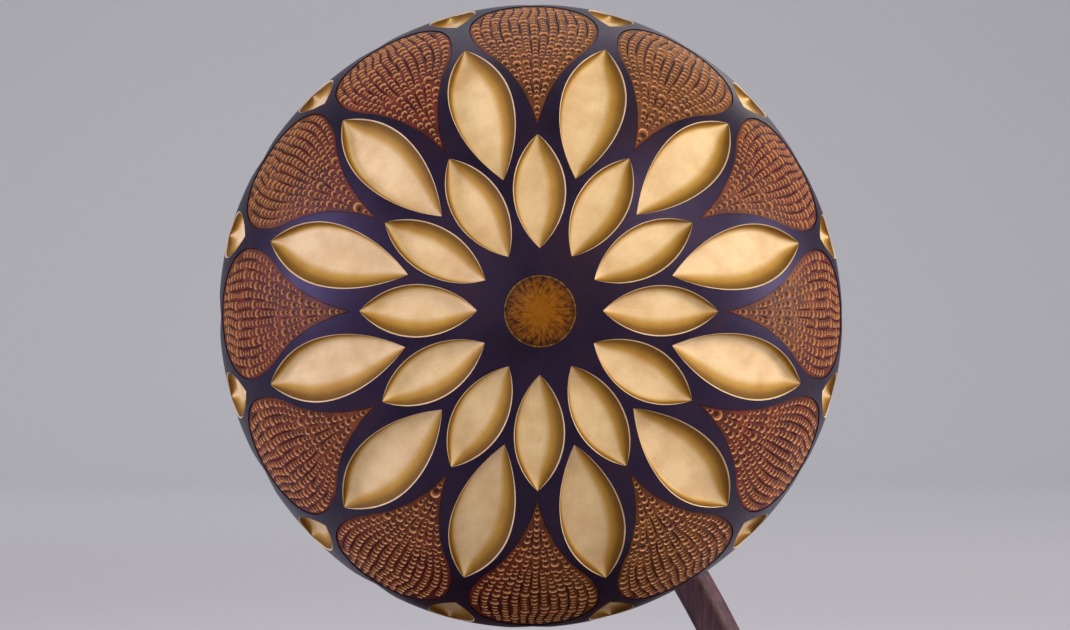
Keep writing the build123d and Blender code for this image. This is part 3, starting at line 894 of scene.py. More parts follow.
    def groove_lines(self, middle: np.ndarray,
                     radius: np.ndarray) -> list[tuple[np.ndarray, np.ndarray, list[tuple[int, int]]]]:
        """Grooves between the rows: left edge, bottom and right edge of each, tapered to a point at both ends.

        A groove runs halfway between two running rows, and is left out where it would meet a bowl.

        Args:
            middle: Middles of the bowls.
            radius: Their radii.

        Returns:
            Places, their depths and the edges between them, for each groove.
        """
        before, after, _ = self.lengths
        dense = np.arange(-before + self.groove_step, after - self.groove_step, self.groove_step)
        spreads, strides = self.lanes(dense)
        outline = np.interp(dense, *self.profile)
        lines = []
        for half_lane in range(1, 2 * self.rows):
            offset, share = half_lane / 2 - self.rows / 2, half_lane / self.rows - 1
            v = (share + self.wander(dense, share)) * spreads
            between = np.isclose(np.mod(offset / strides - 0.5, 1.0), 0.0)
            clear = outline - np.abs(v) > self.groove_clear
            away = np.hypot(dense[:, None] - middle[None, :, 0], v[:, None] - middle[None, :, 1]) - radius[None]
            open_run = between & clear & (away.min(1) > self.groove + self.bowl_bridge)
            breaks = np.flatnonzero(np.diff(np.concatenate([[0], open_run.astype(int), [0]])))
            lines += [self.groove_line(dense[start:end], v[start:end]) for start, end in breaks.reshape(-1, 2)
                      if end - start >= self.groove_stations]
        return lines

    def plan(self, draw: np.random.Generator) -> PanelPlan:
        """Flat plan of one panel: its outline, bowls, grooves and the triangles between them.

        Args:
            draw: Seeded random numbers.

        Returns:
            The plan.
        """
        edge = np.stack(self.cell.outline(self.inset), -1)
        middle, radius = self.bowl_places(draw)
        corner = np.arange(self.sides) * 2 * math.pi / self.sides
        rim = middle[:, None] + radius[:, None, None] * np.stack([np.cos(corner), np.sin(corner)], -1)
        places, edges, first = [edge, rim.reshape(-1, 2)], ring_edges(0, len(edge)), len(edge)
        for _ in range(len(middle)):
            edges += ring_edges(first, self.sides)
            first += self.sides
        depth = [np.zeros(first)]
        for groove, sunk, links in self.groove_lines(middle, radius):
            places.append(groove)
            depth.append(sunk)
            edges += [(a + first, b + first) for a, b in links]
            first += len(groove)
        flat = np.concatenate(places)
        triangles = triangulate(flat, edges)
        triangles = triangles[inside(edge, flat[triangles].mean(1))]
        away = flat[triangles].mean(1)[:, None] - middle[None]
        facing = corner + math.pi / self.sides
        reach = (away[..., :1] * np.cos(facing) + away[..., 1:] * np.sin(facing)).max(-1)
        in_bowl = (reach < radius * math.cos(math.pi / self.sides)).any(1)
        return PanelPlan(flat, np.concatenate(depth), triangles[~in_bowl], middle, radius, rim)

    def bowls(self, turn: float, plan: PanelPlan) -> Patch:
        """All the bowls of one panel: rings that narrow as they go down, and a middle point.

        Args:
            turn: The leaf's turn about the axis.
            plan: The panel's flat plan.

        Returns:
            The bowls' surface.
        """
        middle, radius = plan.middle, plan.radius
        shares, falls = np.array(self.bowl_rings), np.array(self.bowl_falls)
        spots = middle[:, None, None] + (plan.rim - middle[:, None])[:, None] * shares[:, None, None]
        down = radius[:, None, None] * falls[:, None] * np.ones(self.sides)
        count, rings, sides = down.shape
        flat = np.concatenate([spots.reshape(count, -1, 2), middle[:, None]], 1).reshape(-1, 2)
        depth = np.concatenate([down.reshape(count, -1), self.bowl_depth * radius[:, None]], 1).reshape(-1)
        depth = np.minimum(depth, self.thickness - self.sunk - self.floor_left)
        points = self.cell.seat(turn, flat[:, 0], flat[:, 1], self.sunk + depth)
        step, last = np.arange(sides), (rings - 1) * sides
        fan = np.stack([last + step, last + (step + 1) % sides, np.full_like(step, rings * sides)], -1)
        one = np.concatenate([grid_triangles(rings, sides, closed=True), fan])
        triangles = (one[None] + (np.arange(count) * (rings * sides + 1))[:, None, None]).reshape(-1, 3)
        tone = np.tile(np.repeat(self.bowl_tones, [sides] * rings + [1]), count)
        return make_patch(points, triangles, self.cell.form.outward(points), PanelCover.STAINED, tone, flat)

    def patches(self, turn: float, plan: PanelPlan) -> list[Patch]:
        """One panel: its face with grooves and bowls, its broken edge, its side and its back.

        Args:
            turn: The leaf's turn about the axis.
            plan: Its flat plan.

        Returns:
            The panel's surfaces.
        """
        cell, form, triangles = self.cell, self.cell.form, plan.triangles
        points = cell.seat(turn, plan.flat[:, 0], plan.flat[:, 1], self.sunk + plan.sunk)
        # Triangles that touch a groove take the near-black material that paints shade into the grooves.
        in_groove = (plan.sunk[triangles] > 0).any(1)
        made = [make_patch(points, triangles[in_groove == cover], form.outward(points), cover)
                for cover in PanelCover] + [self.bowls(turn, plan)]
        edge, rim = cell.outline(self.inset), cell.outline(self.gap)
        back = self.thickness - self.gap
        centre = cell.seat(turn, np.zeros(1), np.zeros(1), self.thickness)
        rings = [cell.seat(turn, *line, depth)
                 for line, depth in ((edge, self.sunk), (rim, self.sunk + self.chamfer), (rim, back))]
        for upper, lower in zip(rings[:-1], rings[1:]):
            strip = np.concatenate([upper, lower])
            made.append(make_patch(strip, grid_triangles(2, len(upper), closed=True), strip - centre,
                                   PanelCover.STAINED))
        stations = cell.along_stations(self.gap)
        across = cell.half_width(stations, self.gap)[:, None] * np.array([1.0, -1.0])
        back_u = np.concatenate([np.repeat(stations, 2), rim[0][[0, len(stations) + 1]]])
        under = cell.seat(turn, back_u, np.concatenate([across.reshape(-1), [0.0, 0.0]]), back)
        made.append(make_patch(under, leaf_triangles(*across.shape), -form.outward(under), PanelCover.STAINED))
        return made


PETALS = {
    "inner_petals": ScoopedPetals(Cell(21.5, 0.0, 0.183, 0.185, 0.078)),
    "outer_petals": ScoopedPetals(Cell(41.5, 0.5, 0.282, 0.249, 0.097, stations=35)),
    "rim_lozenges": ScoopedPetals(Cell(79.5, 0.5, 0.154, 0.127, 0.075, stations=23)),
    "side_lozenges": ScoopedPetals(Cell(93.3, 0.0, 0.182, 0.240, 0.105)),
    "rear_petals": ScoopedPetals(Cell(146.9, 0.5, 0.115, 0.116, 0.075, stations=19)),
}
PANELS = {
    "flower_panels": DrilledPanels(Cell(64.6, 0.0, 0.454, 0.208, 0.203, 0.166, 0.144, stations=47), rows=14),
    "side_panels": DrilledPanels(Cell(115.0, 0.5, 0.370, 0.212, 0.199, 0.208, 0.150, stations=45), rows=14),
    "rear_panels": DrilledPanels(Cell(133.8, 0.0, 0.249, 0.181, 0.150, 0.112, 0.093, stations=33), rows=10),
}


@dataclass(frozen=True)
class CarvedShade:
    """The gourd shell with its scooped petals, drilled panels and dark rind.

    Attributes:
        form: The gourd.
        around: Points of a sector round the eye and the mouth.
        columns: Columns of free points on a sector of the rind.
        step: Distance between free points along it.
        step_gap: Least distance of a free point from an outline, in those steps.
        wall_rings: Rings of the inner wall.
    """

    form: GourdForm = GourdForm()
    around: int = 12
    columns: int = 20
    step: float = 3.0 * MM
    step_gap: float = 0.4
    wall_rings: int = 40

    def edge_run(self, start: float, end: float, least: int) -> np.ndarray:
        """Straight run of a sector's edge between two meridian angles.

        Args:
            start: First angle.
            end: Last angle.
            least: Least number of points.

        Returns:
            Turn and meridian angle of each point.
        """
        run = np.linspace(start, end, max(least, int(round((end - start) * self.form.radius / self.step)) + 1))
        return np.stack([np.full_like(run, SECTOR / 2), run], -1)

    def sector_boundary(self, halves: list[Cell]) -> np.ndarray:
        """Right-hand edge of a sector from the eye to the mouth, round the half leaves that lie on it.

        Args:
            halves: Leaves that are centred on the edge, from the eye to the mouth.

        Returns:
            Turn and meridian angle of each point.
        """
        pieces, angle = [], self.form.eye_angle
        for cell in halves:
            side = cell.skin_outline()[:cell.stations + 2]
            pieces.append(self.edge_run(angle, side[0, 1], 2)[:-1])
            pieces.append(np.stack([SECTOR / 2 - side[:, 0], side[:, 1]], -1))
            angle = side[-1, 1]
        return np.concatenate(pieces + [self.edge_run(angle, self.form.mouth_angle, 3)[1:]])

    def rind_patches(self) -> list[Patch]:
        """Dark rind between the cells: one sector triangulated in turn and angle, and repeated.

        Returns:
            The rind of each sector.
        """
        form = self.form
        rings = [leaves.cell for leaves in (*PETALS.values(), *PANELS.values())]
        right = self.sector_boundary(sorted((c for c in rings if c.turn_share), key=lambda c: c.angle))
        left = right[::-1] * np.array([-1.0, 1.0])
        across = np.linspace(-SECTOR / 2, SECTOR / 2, self.around + 1)[1:-1]
        mouth = np.stack([across[::-1], np.full_like(across, form.mouth_angle)], -1)
        eye = np.stack([across, np.full_like(across, form.eye_angle)], -1)
        border = np.concatenate([right, mouth, left, eye])
        holes = [cell.skin_outline() for cell in rings if not cell.turn_share]

        def on_rind(spots: np.ndarray) -> np.ndarray:
            """Tell which spots lie inside the border and outside every hole."""
            return inside(border, spots) & ~np.any([inside(hole, spots) for hole in holes], axis=0)

        turns, angles = np.meshgrid(np.linspace(-SECTOR / 2, SECTOR / 2, self.columns + 1)[1:-1],
                                    np.arange(form.eye_angle, form.mouth_angle, self.step / form.radius),
                                    indexing="ij")
        spread = np.stack([turns.reshape(-1), angles.reshape(-1)], -1)
        outlines = np.concatenate([border] + holes)
        stretch = np.stack([form.radius * np.sin(spread[:, 1]), np.full(len(spread), form.radius)], -1)
        apart = np.linalg.norm((spread[:, None] - outlines[None]) * stretch[:, None], axis=-1).min(1)
        spread = spread[on_rind(spread) & (apart > self.step_gap * self.step)]
        places = np.concatenate([outlines, spread])
        edges, first = [], 0
        for line in (border, *holes):
            edges += ring_edges(first, len(line))
            first += len(line)
        triangles = triangulate(places * form.radius, edges)
        triangles = triangles[on_rind(places[triangles].mean(1))]
        patches = []
        for copy in range(SECTORS):
            points = form.surface(places[:, 1], places[:, 0] + copy * SECTOR)
            patch = make_patch(points, triangles, form.outward(points), ShellCover.RIND)
            patch.normals = form.outward(points)
            patches.append(patch)
        return patches

    def turned_patch(self, profile: np.ndarray, outward: int) -> Patch:
        """Ring of bare flesh turned about the axis from a run of (radius, height) points.

        Args:
            profile: Points along the run.
            outward: 1 where the surface faces away from the axis or up, -1 where it faces inwards.

        Returns:
            The turned surface.
        """
        turn = np.arange(SECTORS * self.around) * SECTOR / self.around + SECTOR / 2
        ring = profile[:, None, 0]
        points = np.stack([ring * np.cos(turn), ring * np.sin(turn),
                           np.repeat(profile[:, 1:], len(turn), 1)], -1).reshape(-1, 3)
        direction = outward * (points * np.array([1.0, 1.0, 0.0]) + np.array([0.0, 0.0, MM]))
        triangles = grid_triangles(len(profile), len(turn), closed=True)
        return make_patch(points, triangles, direction, ShellCover.FLESH)

    def inner_patches(self) -> list[Patch]:
        """Eye seat, its ledge, the hole behind the eye, the inner wall and the mouth's edge.

        Returns:
            The turned surfaces.
        """
        form = self.form
        seat = form.front_depth - form.eye_seat
        inner_radius = form.radius - form.wall
        angle = np.linspace(math.asin(form.eye_hole / inner_radius),
                            math.pi - math.asin(form.mouth_radius / inner_radius), self.wall_rings)
        depth = form.depth(np.cos(angle)) - form.wall
        wall = np.stack([inner_radius * np.sin(angle), depth * np.cos(angle)], -1)
        runs = (
            ([[form.eye_radius, form.front_depth * math.cos(form.eye_angle)], [form.eye_radius, seat]], -1),
            ([[form.eye_radius, seat], [form.eye_hole, seat]], 1),
            ([[form.eye_hole, seat], [form.eye_hole, wall[0, 1]]], -1),
            (wall, -1),
            ([[form.mouth_radius, wall[-1, 1]],
              [form.mouth_radius, form.rear_depth * math.cos(form.mouth_angle)]], -1),
        )
        return [self.turned_patch(np.array(run), outward) for run, outward in runs]

    def build(self) -> dict[str, bpy.types.Object]:
        """Build the carved shell and the rings of drilled panels.

        Returns:
            The new pieces by name.
        """
        patches = self.rind_patches() + self.inner_patches()
        for petals in PETALS.values():
            patches += [petals.patch(turn) for turn in petals.cell.turns()]
        for panels in PANELS.values():
            for turn in panels.cell.turns():
                patches += panels.pocket(turn)
        pieces = {"carved_shell": merge("carved_shell", patches, self.form)}
        draw = np.random.default_rng(SEED)
        for name, panels in PANELS.items():
            plans = [panels.plan(draw) for _ in range(panels.kinds)]
            pieces[name] = merge(name, [patch for copy, turn in enumerate(panels.cell.turns())
                                        for patch in panels.patches(turn, plans[copy % panels.kinds])], self.form)
        for piece in pieces.values():
            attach(piece, "shade")
            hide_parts("gourd_shell")
        return pieces

    def dress(self, pieces: dict[str, bpy.types.Object]) -> None:
        """Give the shell and the panels their materials, in the order of ShellCover and PanelCover.

        Args:
            pieces: The pieces that build made.
        """
        for name, piece in pieces.items():
            for stock in (Stock.STAINED, Stock.GROOVE_SHADE) if name in PANELS else (Stock.RIND, Stock.PETAL, Stock.FLESH):
                piece.data.materials.append(stocked(stock))


def add(tree: bpy.types.NodeTree, kind: str, settings: dict | None = None, inputs: dict | None = None,
        to: dict | None = None, stops: list[tuple[float, str]] | None = None) -> bpy.types.Node:
    """Add a node with its settings, input values or links, colour stops and links from its outputs.

    Args:
        tree: Node tree.
        kind: Node type.
        settings: Attributes of the node.
        inputs: Values, sockets or nodes (their first output) for its inputs, by name or index.
        to: The socket that an output feeds, by the output's name or index.
        stops: Places and hex colours of a colour ramp.

    Returns:
        The new node.
    """
    node = tree.nodes.new(kind)
    for key, value in (settings or {}).items():
        setattr(node, key, value)
    for key, value in (inputs or {}).items():
        if isinstance(value, (bpy.types.Node, bpy.types.NodeSocket)):
            tree.links.new(value.outputs[0] if isinstance(value, bpy.types.Node) else value, node.inputs[key])
        else:
            node.inputs[key].default_value = value
    for index, (place, colour) in enumerate(stops or []):
        elements = node.color_ramp.elements
        element = elements[index] if index < 2 else elements.new(place)
        element.position = place
        element.color = linear(colour)
    for key, socket in (to or {}).items():
        tree.links.new(node.outputs[key], socket)
    return node


def new_material(name: str, values: dict[str, float | tuple]) -> tuple[
        bpy.types.Material, bpy.types.NodeTree, bpy.types.Node, bpy.types.NodeSocket]:
    """Make a node material with its shader and the place on the object that its patterns read.

    Args:
        name: Name of the finish.
        values: Uniform values on the shader's own inputs.

    Returns:
        The material, its tree, its Principled shader and the place.
    """
    material = bpy.data.materials.new(name)
    material.use_nodes = True
    tree = material.node_tree
    tree.nodes.clear()
    shader = add(tree, "ShaderNodeBsdfPrincipled", inputs=values)
    add(tree, "ShaderNodeOutputMaterial", inputs={"Surface": shader})
    return material, tree, shader, add(tree, "ShaderNodeTexCoord").outputs["Object"]


def drive(tree: bpy.types.NodeTree, shader: bpy.types.Node,
          colour: tuple[bpy.types.Node, list[tuple[float, str]]] | None = None,
          gloss: tuple[bpy.types.Node, tuple[float, float]] | None = None,
          relief: tuple[bpy.types.Node, float, float] | None = None) -> None:
    """Let patterns drive the shader's colour, roughness and normal.

    Args:
        tree: Node tree.
        shader: Its Principled shader.
        colour: Pattern, and the stops of the colours that it runs through.
        gloss: Pattern, and the roughness where it is 0.3 and where it is 0.7.
        relief: Pattern, strength and height in metres.
    """
    if colour:
        add(tree, "ShaderNodeValToRGB", inputs={0: colour[0]}, stops=colour[1],
            to={0: shader.inputs["Base Color"]})
    if gloss:
        add(tree, "ShaderNodeMapRange", to={0: shader.inputs["Roughness"]},
            inputs={"Value": gloss[0], "From Min": 0.3, "From Max": 0.7,
                    "To Min": gloss[1][0], "To Max": gloss[1][1]})
    if relief:
        add(tree, "ShaderNodeBump", inputs={"Height": relief[0], "Strength": relief[1], "Distance": relief[2]},
            to={0: shader.inputs["Normal"]})


@dataclass(frozen=True)
class RindFinish:
    """Dried gourd rind, dyed aubergine black and waxed: nearly black, with a low lilac shine and faint mottle."""

    deep: str = "#110b13"
    cool: str = "#1c1322"
    warm: str = "#26171b"
    sheen: str = "#b9a0dc"
    roughness: tuple[float, float] = (0.34, 0.46)
    mottle: float = 18 * MM
    scuff: float = 1.3 * MM
    rise: float = 0.12 * MM

    def build(self) -> bpy.types.Material:
        """Make the material: cloudy dye under a wax whose shine varies with fine scuffs.

        Returns:
            The material.
        """
        material, tree, shader, place = new_material(
            "gourd_rind_dyed_waxed", {"Specular IOR Level": 0.32, "Specular Tint": linear(self.sheen)})
        cloud = add(tree, "ShaderNodeTexNoise", inputs={"Vector": place, "Scale": 1 / self.mottle, "Detail": 5.0})
        scuff = add(tree, "ShaderNodeTexNoise",
                    inputs={"Vector": place, "Scale": 1 / self.scuff, "Detail": 6.0, "Roughness": 0.7})
        drive(tree, shader, (cloud, [(0.30, self.deep), (0.50, self.cool), (0.72, self.warm)]),
              (scuff, self.roughness), (scuff, 0.35, self.rise))
        return material


@dataclass(frozen=True)
class PetalFinish:
    """Gourd flesh cut with a gouge and sealed: cream floor, dark ochre walls that are partly the denser flesh under
    the rind and partly painted shade, pale lip, faint fibres and stains.
    """

    lip: str = "#dcc298"
    # The wall, flank and rise colours darken the scoop's walls below the pale lip: partly the denser flesh under the
    # rind, partly painted shade.
    wall: str = "#5c3f04"
    flank: str = "#80590a"
    rise: str = "#b48b38"
    floor: str = "#e0c492"
    streak: str = "#cfae7c"
    blot: str = "#c99f66"
    roughness: float = 0.75
    fibre: tuple[float, float] = (7 * MM, 0.7 * MM)
    stain: float = 10 * MM
    relief: float = 0.10 * MM

    def build(self) -> bpy.types.Material:
        """Make the material: colour by the share of the depth, with painted shade on the walls, then fibres along
        the cut and slow stains.

        Returns:
            The material.
        """
        material, tree, shader, place = new_material(
            "gourd_flesh_gouge_cut", {"Roughness": self.roughness, "Specular IOR Level": 0.3})
        chart = add(tree, "ShaderNodeUVMap", {"uv_map": "chart"})
        grain = add(tree, "ShaderNodeMapping",
                    inputs={"Vector": chart, "Scale": (1 / self.fibre[0], 1 / self.fibre[1], 1.0)})
        fibres = add(tree, "ShaderNodeTexNoise", inputs={"Vector": grain, "Scale": 1.0, "Detail": 5.0})
        stain = add(tree, "ShaderNodeTexNoise", inputs={"Vector": place, "Scale": 1 / self.stain, "Detail": 4.0})
        tone = add(tree, "ShaderNodeAttribute", {"attribute_name": "tone"}).outputs["Fac"]
        # Painted shade: dark ochre on the walls, lightening through the flank and rise to the cream floor.
        depth = add(tree, "ShaderNodeValToRGB", inputs={0: tone},
                    stops=[(0.0, self.lip), (0.045, self.lip), (0.15, self.wall), (0.50, self.flank),
                           (0.80, self.rise), (0.97, self.floor)])
        streaks = add(tree, "ShaderNodeValToRGB", inputs={0: fibres},
                      stops=[(0.25, self.streak), (0.60, "#ffffff")])
        light = add(tree, "ShaderNodeMix", {"data_type": "RGBA", "blend_type": "MULTIPLY"},
                    {"Factor": 0.12, 6: depth, 7: streaks})
        blots = add(tree, "ShaderNodeValToRGB", inputs={0: stain}, stops=[(0.30, self.blot), (0.60, "#ffffff")])
        add(tree, "ShaderNodeMix", {"data_type": "RGBA", "blend_type": "MULTIPLY"},
            {"Factor": 0.36, 6: light.outputs[2], 7: blots}, to={2: shader.inputs["Base Color"]})
        drive(tree, shader, relief=(fibres, 0.2, self.relief))
        return material


@dataclass(frozen=True)
class PanelFinish:
    """Rind stained rust to golden brown and drilled: satin face, peach flesh at the drill rims, darkening down the
    walls to nearly black bottoms as painted shade.
    """

    rust: tuple[str, str, str] = ("#38100a", "#541c0c", "#702d12")
    golden: tuple[str, str, str] = ("#3d1f08", "#5a310e", "#7a4a18")
    drill_rim: str = "#dfa673"
    # Painted shade: the drill walls and bottoms darken with depth below the peach rim.
    drill_wall_shaded: str = "#945826"
    drill_floor_shaded: str = "#3a1b0a"
    roughness: tuple[float, float] = (0.48, 0.62)
    grit: float = 0.9 * MM
    cloud: float = 9 * MM
    drift: float = 85 * MM
    rise: float = 0.10 * MM

    def build(self) -> bpy.types.Material:
        """Make the material: two clouded stains that drift into each other, and colour by depth in the bowls,
        darkening to painted shade at the bottom.

        Returns:
            The material.
        """
        material, tree, shader, place = new_material("gourd_rind_stained_drilled", {"Specular IOR Level": 0.22})
        cloud = add(tree, "ShaderNodeTexNoise",
                    inputs={"Vector": place, "Scale": 1 / self.cloud, "Detail": 5.0, "Roughness": 0.65})
        drift = add(tree, "ShaderNodeTexNoise", inputs={"Vector": place, "Scale": 1 / self.drift, "Detail": 1.0})
        blend = add(tree, "ShaderNodeMapRange", inputs={"Value": drift, "From Min": 0.42, "From Max": 0.62})
        rust, golden = (add(tree, "ShaderNodeValToRGB", inputs={0: cloud},
                            stops=list(zip((0.28, 0.48, 0.70), stain))) for stain in (self.rust, self.golden))
        face = add(tree, "ShaderNodeMix", {"data_type": "RGBA"}, {"Factor": blend, 6: rust, 7: golden})
        tone = add(tree, "ShaderNodeAttribute", {"attribute_name": "tone"}).outputs["Fac"]
        # Painted shade in the bowls: peach at the rim, darker down the wall, nearly black at the bottom.
        bowl = add(tree, "ShaderNodeValToRGB", inputs={0: tone},
                   stops=[(0.55, self.drill_rim), (0.78, self.drill_wall_shaded), (0.94, self.drill_floor_shaded)])
        drilled = add(tree, "ShaderNodeMath", {"operation": "GREATER_THAN"}, {0: tone, 1: 0.5})
        add(tree, "ShaderNodeMix", {"data_type": "RGBA"}, {"Factor": drilled, 6: face.outputs[2], 7: bowl},
            to={2: shader.inputs["Base Color"]})
        grit = add(tree, "ShaderNodeTexNoise",
                   inputs={"Vector": place, "Scale": 1 / self.grit, "Detail": 5.0, "Roughness": 0.7})
        drive(tree, shader, gloss=(grit, self.roughness), relief=(grit, 0.4, self.rise))
        return material


@dataclass(frozen=True)
class AmberFinish:
    """Cast and polished amber resin: brown orange, darker towards the edge, with dark flecks that run outwards, and
    a thin pale rim that is a painted highlight.
    """

    middle: str = "#855002"
    body: str = "#764402"
    edge: str = "#482704"
    # A painted highlight: the thin pale rim round the edge.
    rim: str = "#946a30"
    fleck: str = "#6a3a0c"
    radius: float = 13 * MM
    flecks: float = 8.0
    fleck_length: float = 0.62

    def build(self) -> bpy.types.Material:
        """Make the material. The flecks are noise on the turn about the middle and, more slowly, on the radius.

        Returns:
            The material.
        """
        material, tree, shader, place = new_material(
            "amber_resin_polished", {"Roughness": 0.45, "Specular IOR Level": 0.1, "Coat Weight": 0.03})
        local = add(tree, "ShaderNodeMapping",
                    inputs={"Vector": place, "Location": tuple(-c for c in GourdForm.centre)})
        split = add(tree, "ShaderNodeSeparateXYZ", inputs={0: local})
        flat = add(tree, "ShaderNodeCombineXYZ", inputs={"X": split.outputs["X"], "Y": split.outputs["Z"]})
        reach = add(tree, "ShaderNodeVectorMath", {"operation": "LENGTH"}, {0: flat}).outputs["Value"]
        share = add(tree, "ShaderNodeMath", {"operation": "MULTIPLY"}, {0: reach, 1: 1 / self.radius})
        wheel = add(tree, "ShaderNodeVectorMath", {"operation": "NORMALIZE"}, {0: flat})
        length = add(tree, "ShaderNodeMath", {"operation": "MULTIPLY"}, {0: share, 1: self.fleck_length})
        lift = add(tree, "ShaderNodeCombineXYZ", inputs={"Z": length})
        spread = add(tree, "ShaderNodeVectorMath", {"operation": "ADD"}, {0: wheel, 1: lift})
        flecks = add(tree, "ShaderNodeTexNoise",
                     inputs={"Vector": spread, "Scale": self.flecks, "Detail": 6.0, "Roughness": 0.7})
        # Lighter in the middle, darker towards the edge, and a painted highlight on the thin pale rim.
        base = add(tree, "ShaderNodeValToRGB", inputs={0: share},
                   stops=[(0.0, self.middle), (0.45, self.middle), (0.80, self.body), (0.95, self.edge),
                          (0.975, self.rim)])
        dark = add(tree, "ShaderNodeValToRGB", inputs={0: flecks}, stops=[(0.40, self.fleck), (0.58, "#ffffff")])
        fade = add(tree, "ShaderNodeMapRange",
                   inputs={"Value": share, "From Min": 0.05, "From Max": 0.7, "To Min": 0.15, "To Max": 0.95})
        add(tree, "ShaderNodeMix", {"data_type": "RGBA", "blend_type": "MULTIPLY"},
            {"Factor": fade, 6: base, 7: dark}, to={2: shader.inputs["Base Color"]})
        return material


class Grain(Enum):
    """Way that the grain of a wooden piece runs, as the stretch of its pattern along the axes."""

    ACROSS_X = (0.10, 1.0, 1.0)
    ALONG_ARM = (1.0, 1.0, 0.10)


@dataclass(frozen=True)
class WoodFinish:
    """Close-grained hardwood, stained mauve brown and oiled: fine streaks along the grain and a low sheen."""

    name: str
    grain: Grain
    dark: str = "#301d20"
    body: str = "#4f3336"
    light: str = "#6a4846"
    streak: float = 3.2 * MM
    pore: float = 0.7 * MM
    rise: float = 0.15 * MM

    def build(self) -> bpy.types.Material:
        """Make the material: streaks and finer pores stretched along the grain.

        Returns:
            The material.
        """
        material, tree, shader, place = new_material(self.name, {"Roughness": 0.55, "Specular IOR Level": 0.4})
        along = add(tree, "ShaderNodeMapping", inputs={"Vector": place, "Scale": self.grain.value})
        streaks = add(tree, "ShaderNodeTexNoise",
                      inputs={"Vector": along, "Scale": 1 / self.streak, "Detail": 7.0, "Roughness": 0.62})
        pores = add(tree, "ShaderNodeTexNoise", inputs={"Vector": along, "Scale": 1 / self.pore, "Detail": 3.0})
        both = add(tree, "ShaderNodeMath", {"operation": "MULTIPLY_ADD"}, {0: pores, 1: 0.35, 2: streaks})
        drive(tree, shader, (both, [(0.50, self.dark), (0.68, self.body), (0.90, self.light)]),
              relief=(both, 0.25, self.rise))
        return material


@dataclass(frozen=True)
class MetalFinish:
    """Turned or stamped metal: fine tool marks in the shine and a little dull staining."""

    name: str
    bright: str
    dull: str
    roughness: tuple[float, float] = (0.22, 0.42)
    stain: float = 6 * MM
    mark: float = 2.5 * MM
    rise: float = 0.05 * MM

    def build(self) -> bpy.types.Material:
        """Make the material: stains in its colour, and tool marks in its shine and relief.

        Returns:
            The material.
        """
        material, tree, shader, place = new_material(self.name, {"Metallic": 1.0})
        stain = add(tree, "ShaderNodeTexNoise",
                    inputs={"Vector": place, "Scale": 1 / self.stain, "Detail": 5.0, "Roughness": 0.65})
        along = add(tree, "ShaderNodeMapping", inputs={"Vector": place, "Scale": (1.0, 6.0, 1.0)})
        marks = add(tree, "ShaderNodeTexNoise", inputs={"Vector": along, "Scale": 1 / self.mark, "Detail": 4.0})
        drive(tree, shader, (stain, [(0.35, self.dull), (0.62, self.bright)]), (marks, self.roughness),
              (marks, 0.15, self.rise))
        return material


@dataclass(frozen=True)
class PlainFinish:
    """Scraped, moulded, fired, blown or pressed stuff: one colour with a fine mottle and grain of its own.

    Attributes:
        name: Name of the material.
        colour: Its colour.
        shade: Its colour in the dark of the mottle.
        roughness: Its roughness.
        grain: Size of the mottle.
        rise: Height of its relief, or zero for none.
        strength: Strength of that relief.
        specular: Level of its shine.
        detail: Detail of the mottle.
        raggedness: Roughness of the mottle.
        ramp: Where the mottle is darkest and palest.
    """

    name: str
    colour: str
    shade: str
    roughness: float
    grain: float
    rise: float
    strength: float = 0.4
    specular: float = 0.5
    detail: float = 6.0
    raggedness: float = 0.7
    ramp: tuple[float, float] = (0.35, 0.65)

    def build(self) -> bpy.types.Material:
        """Make the material: one mottle in its colour and in its relief.

        Returns:
            The material.
        """
        material, tree, shader, place = new_material(
            self.name, {"Roughness": self.roughness, "Specular IOR Level": self.specular})
        cloud = add(tree, "ShaderNodeTexNoise", inputs={"Vector": place, "Scale": 1 / self.grain,
                                                        "Detail": self.detail, "Roughness": self.raggedness})
        drive(tree, shader, (cloud, [(self.ramp[0], self.shade), (self.ramp[1], self.colour)]),
              relief=(cloud, self.strength, self.rise) if self.rise else None)
        return material


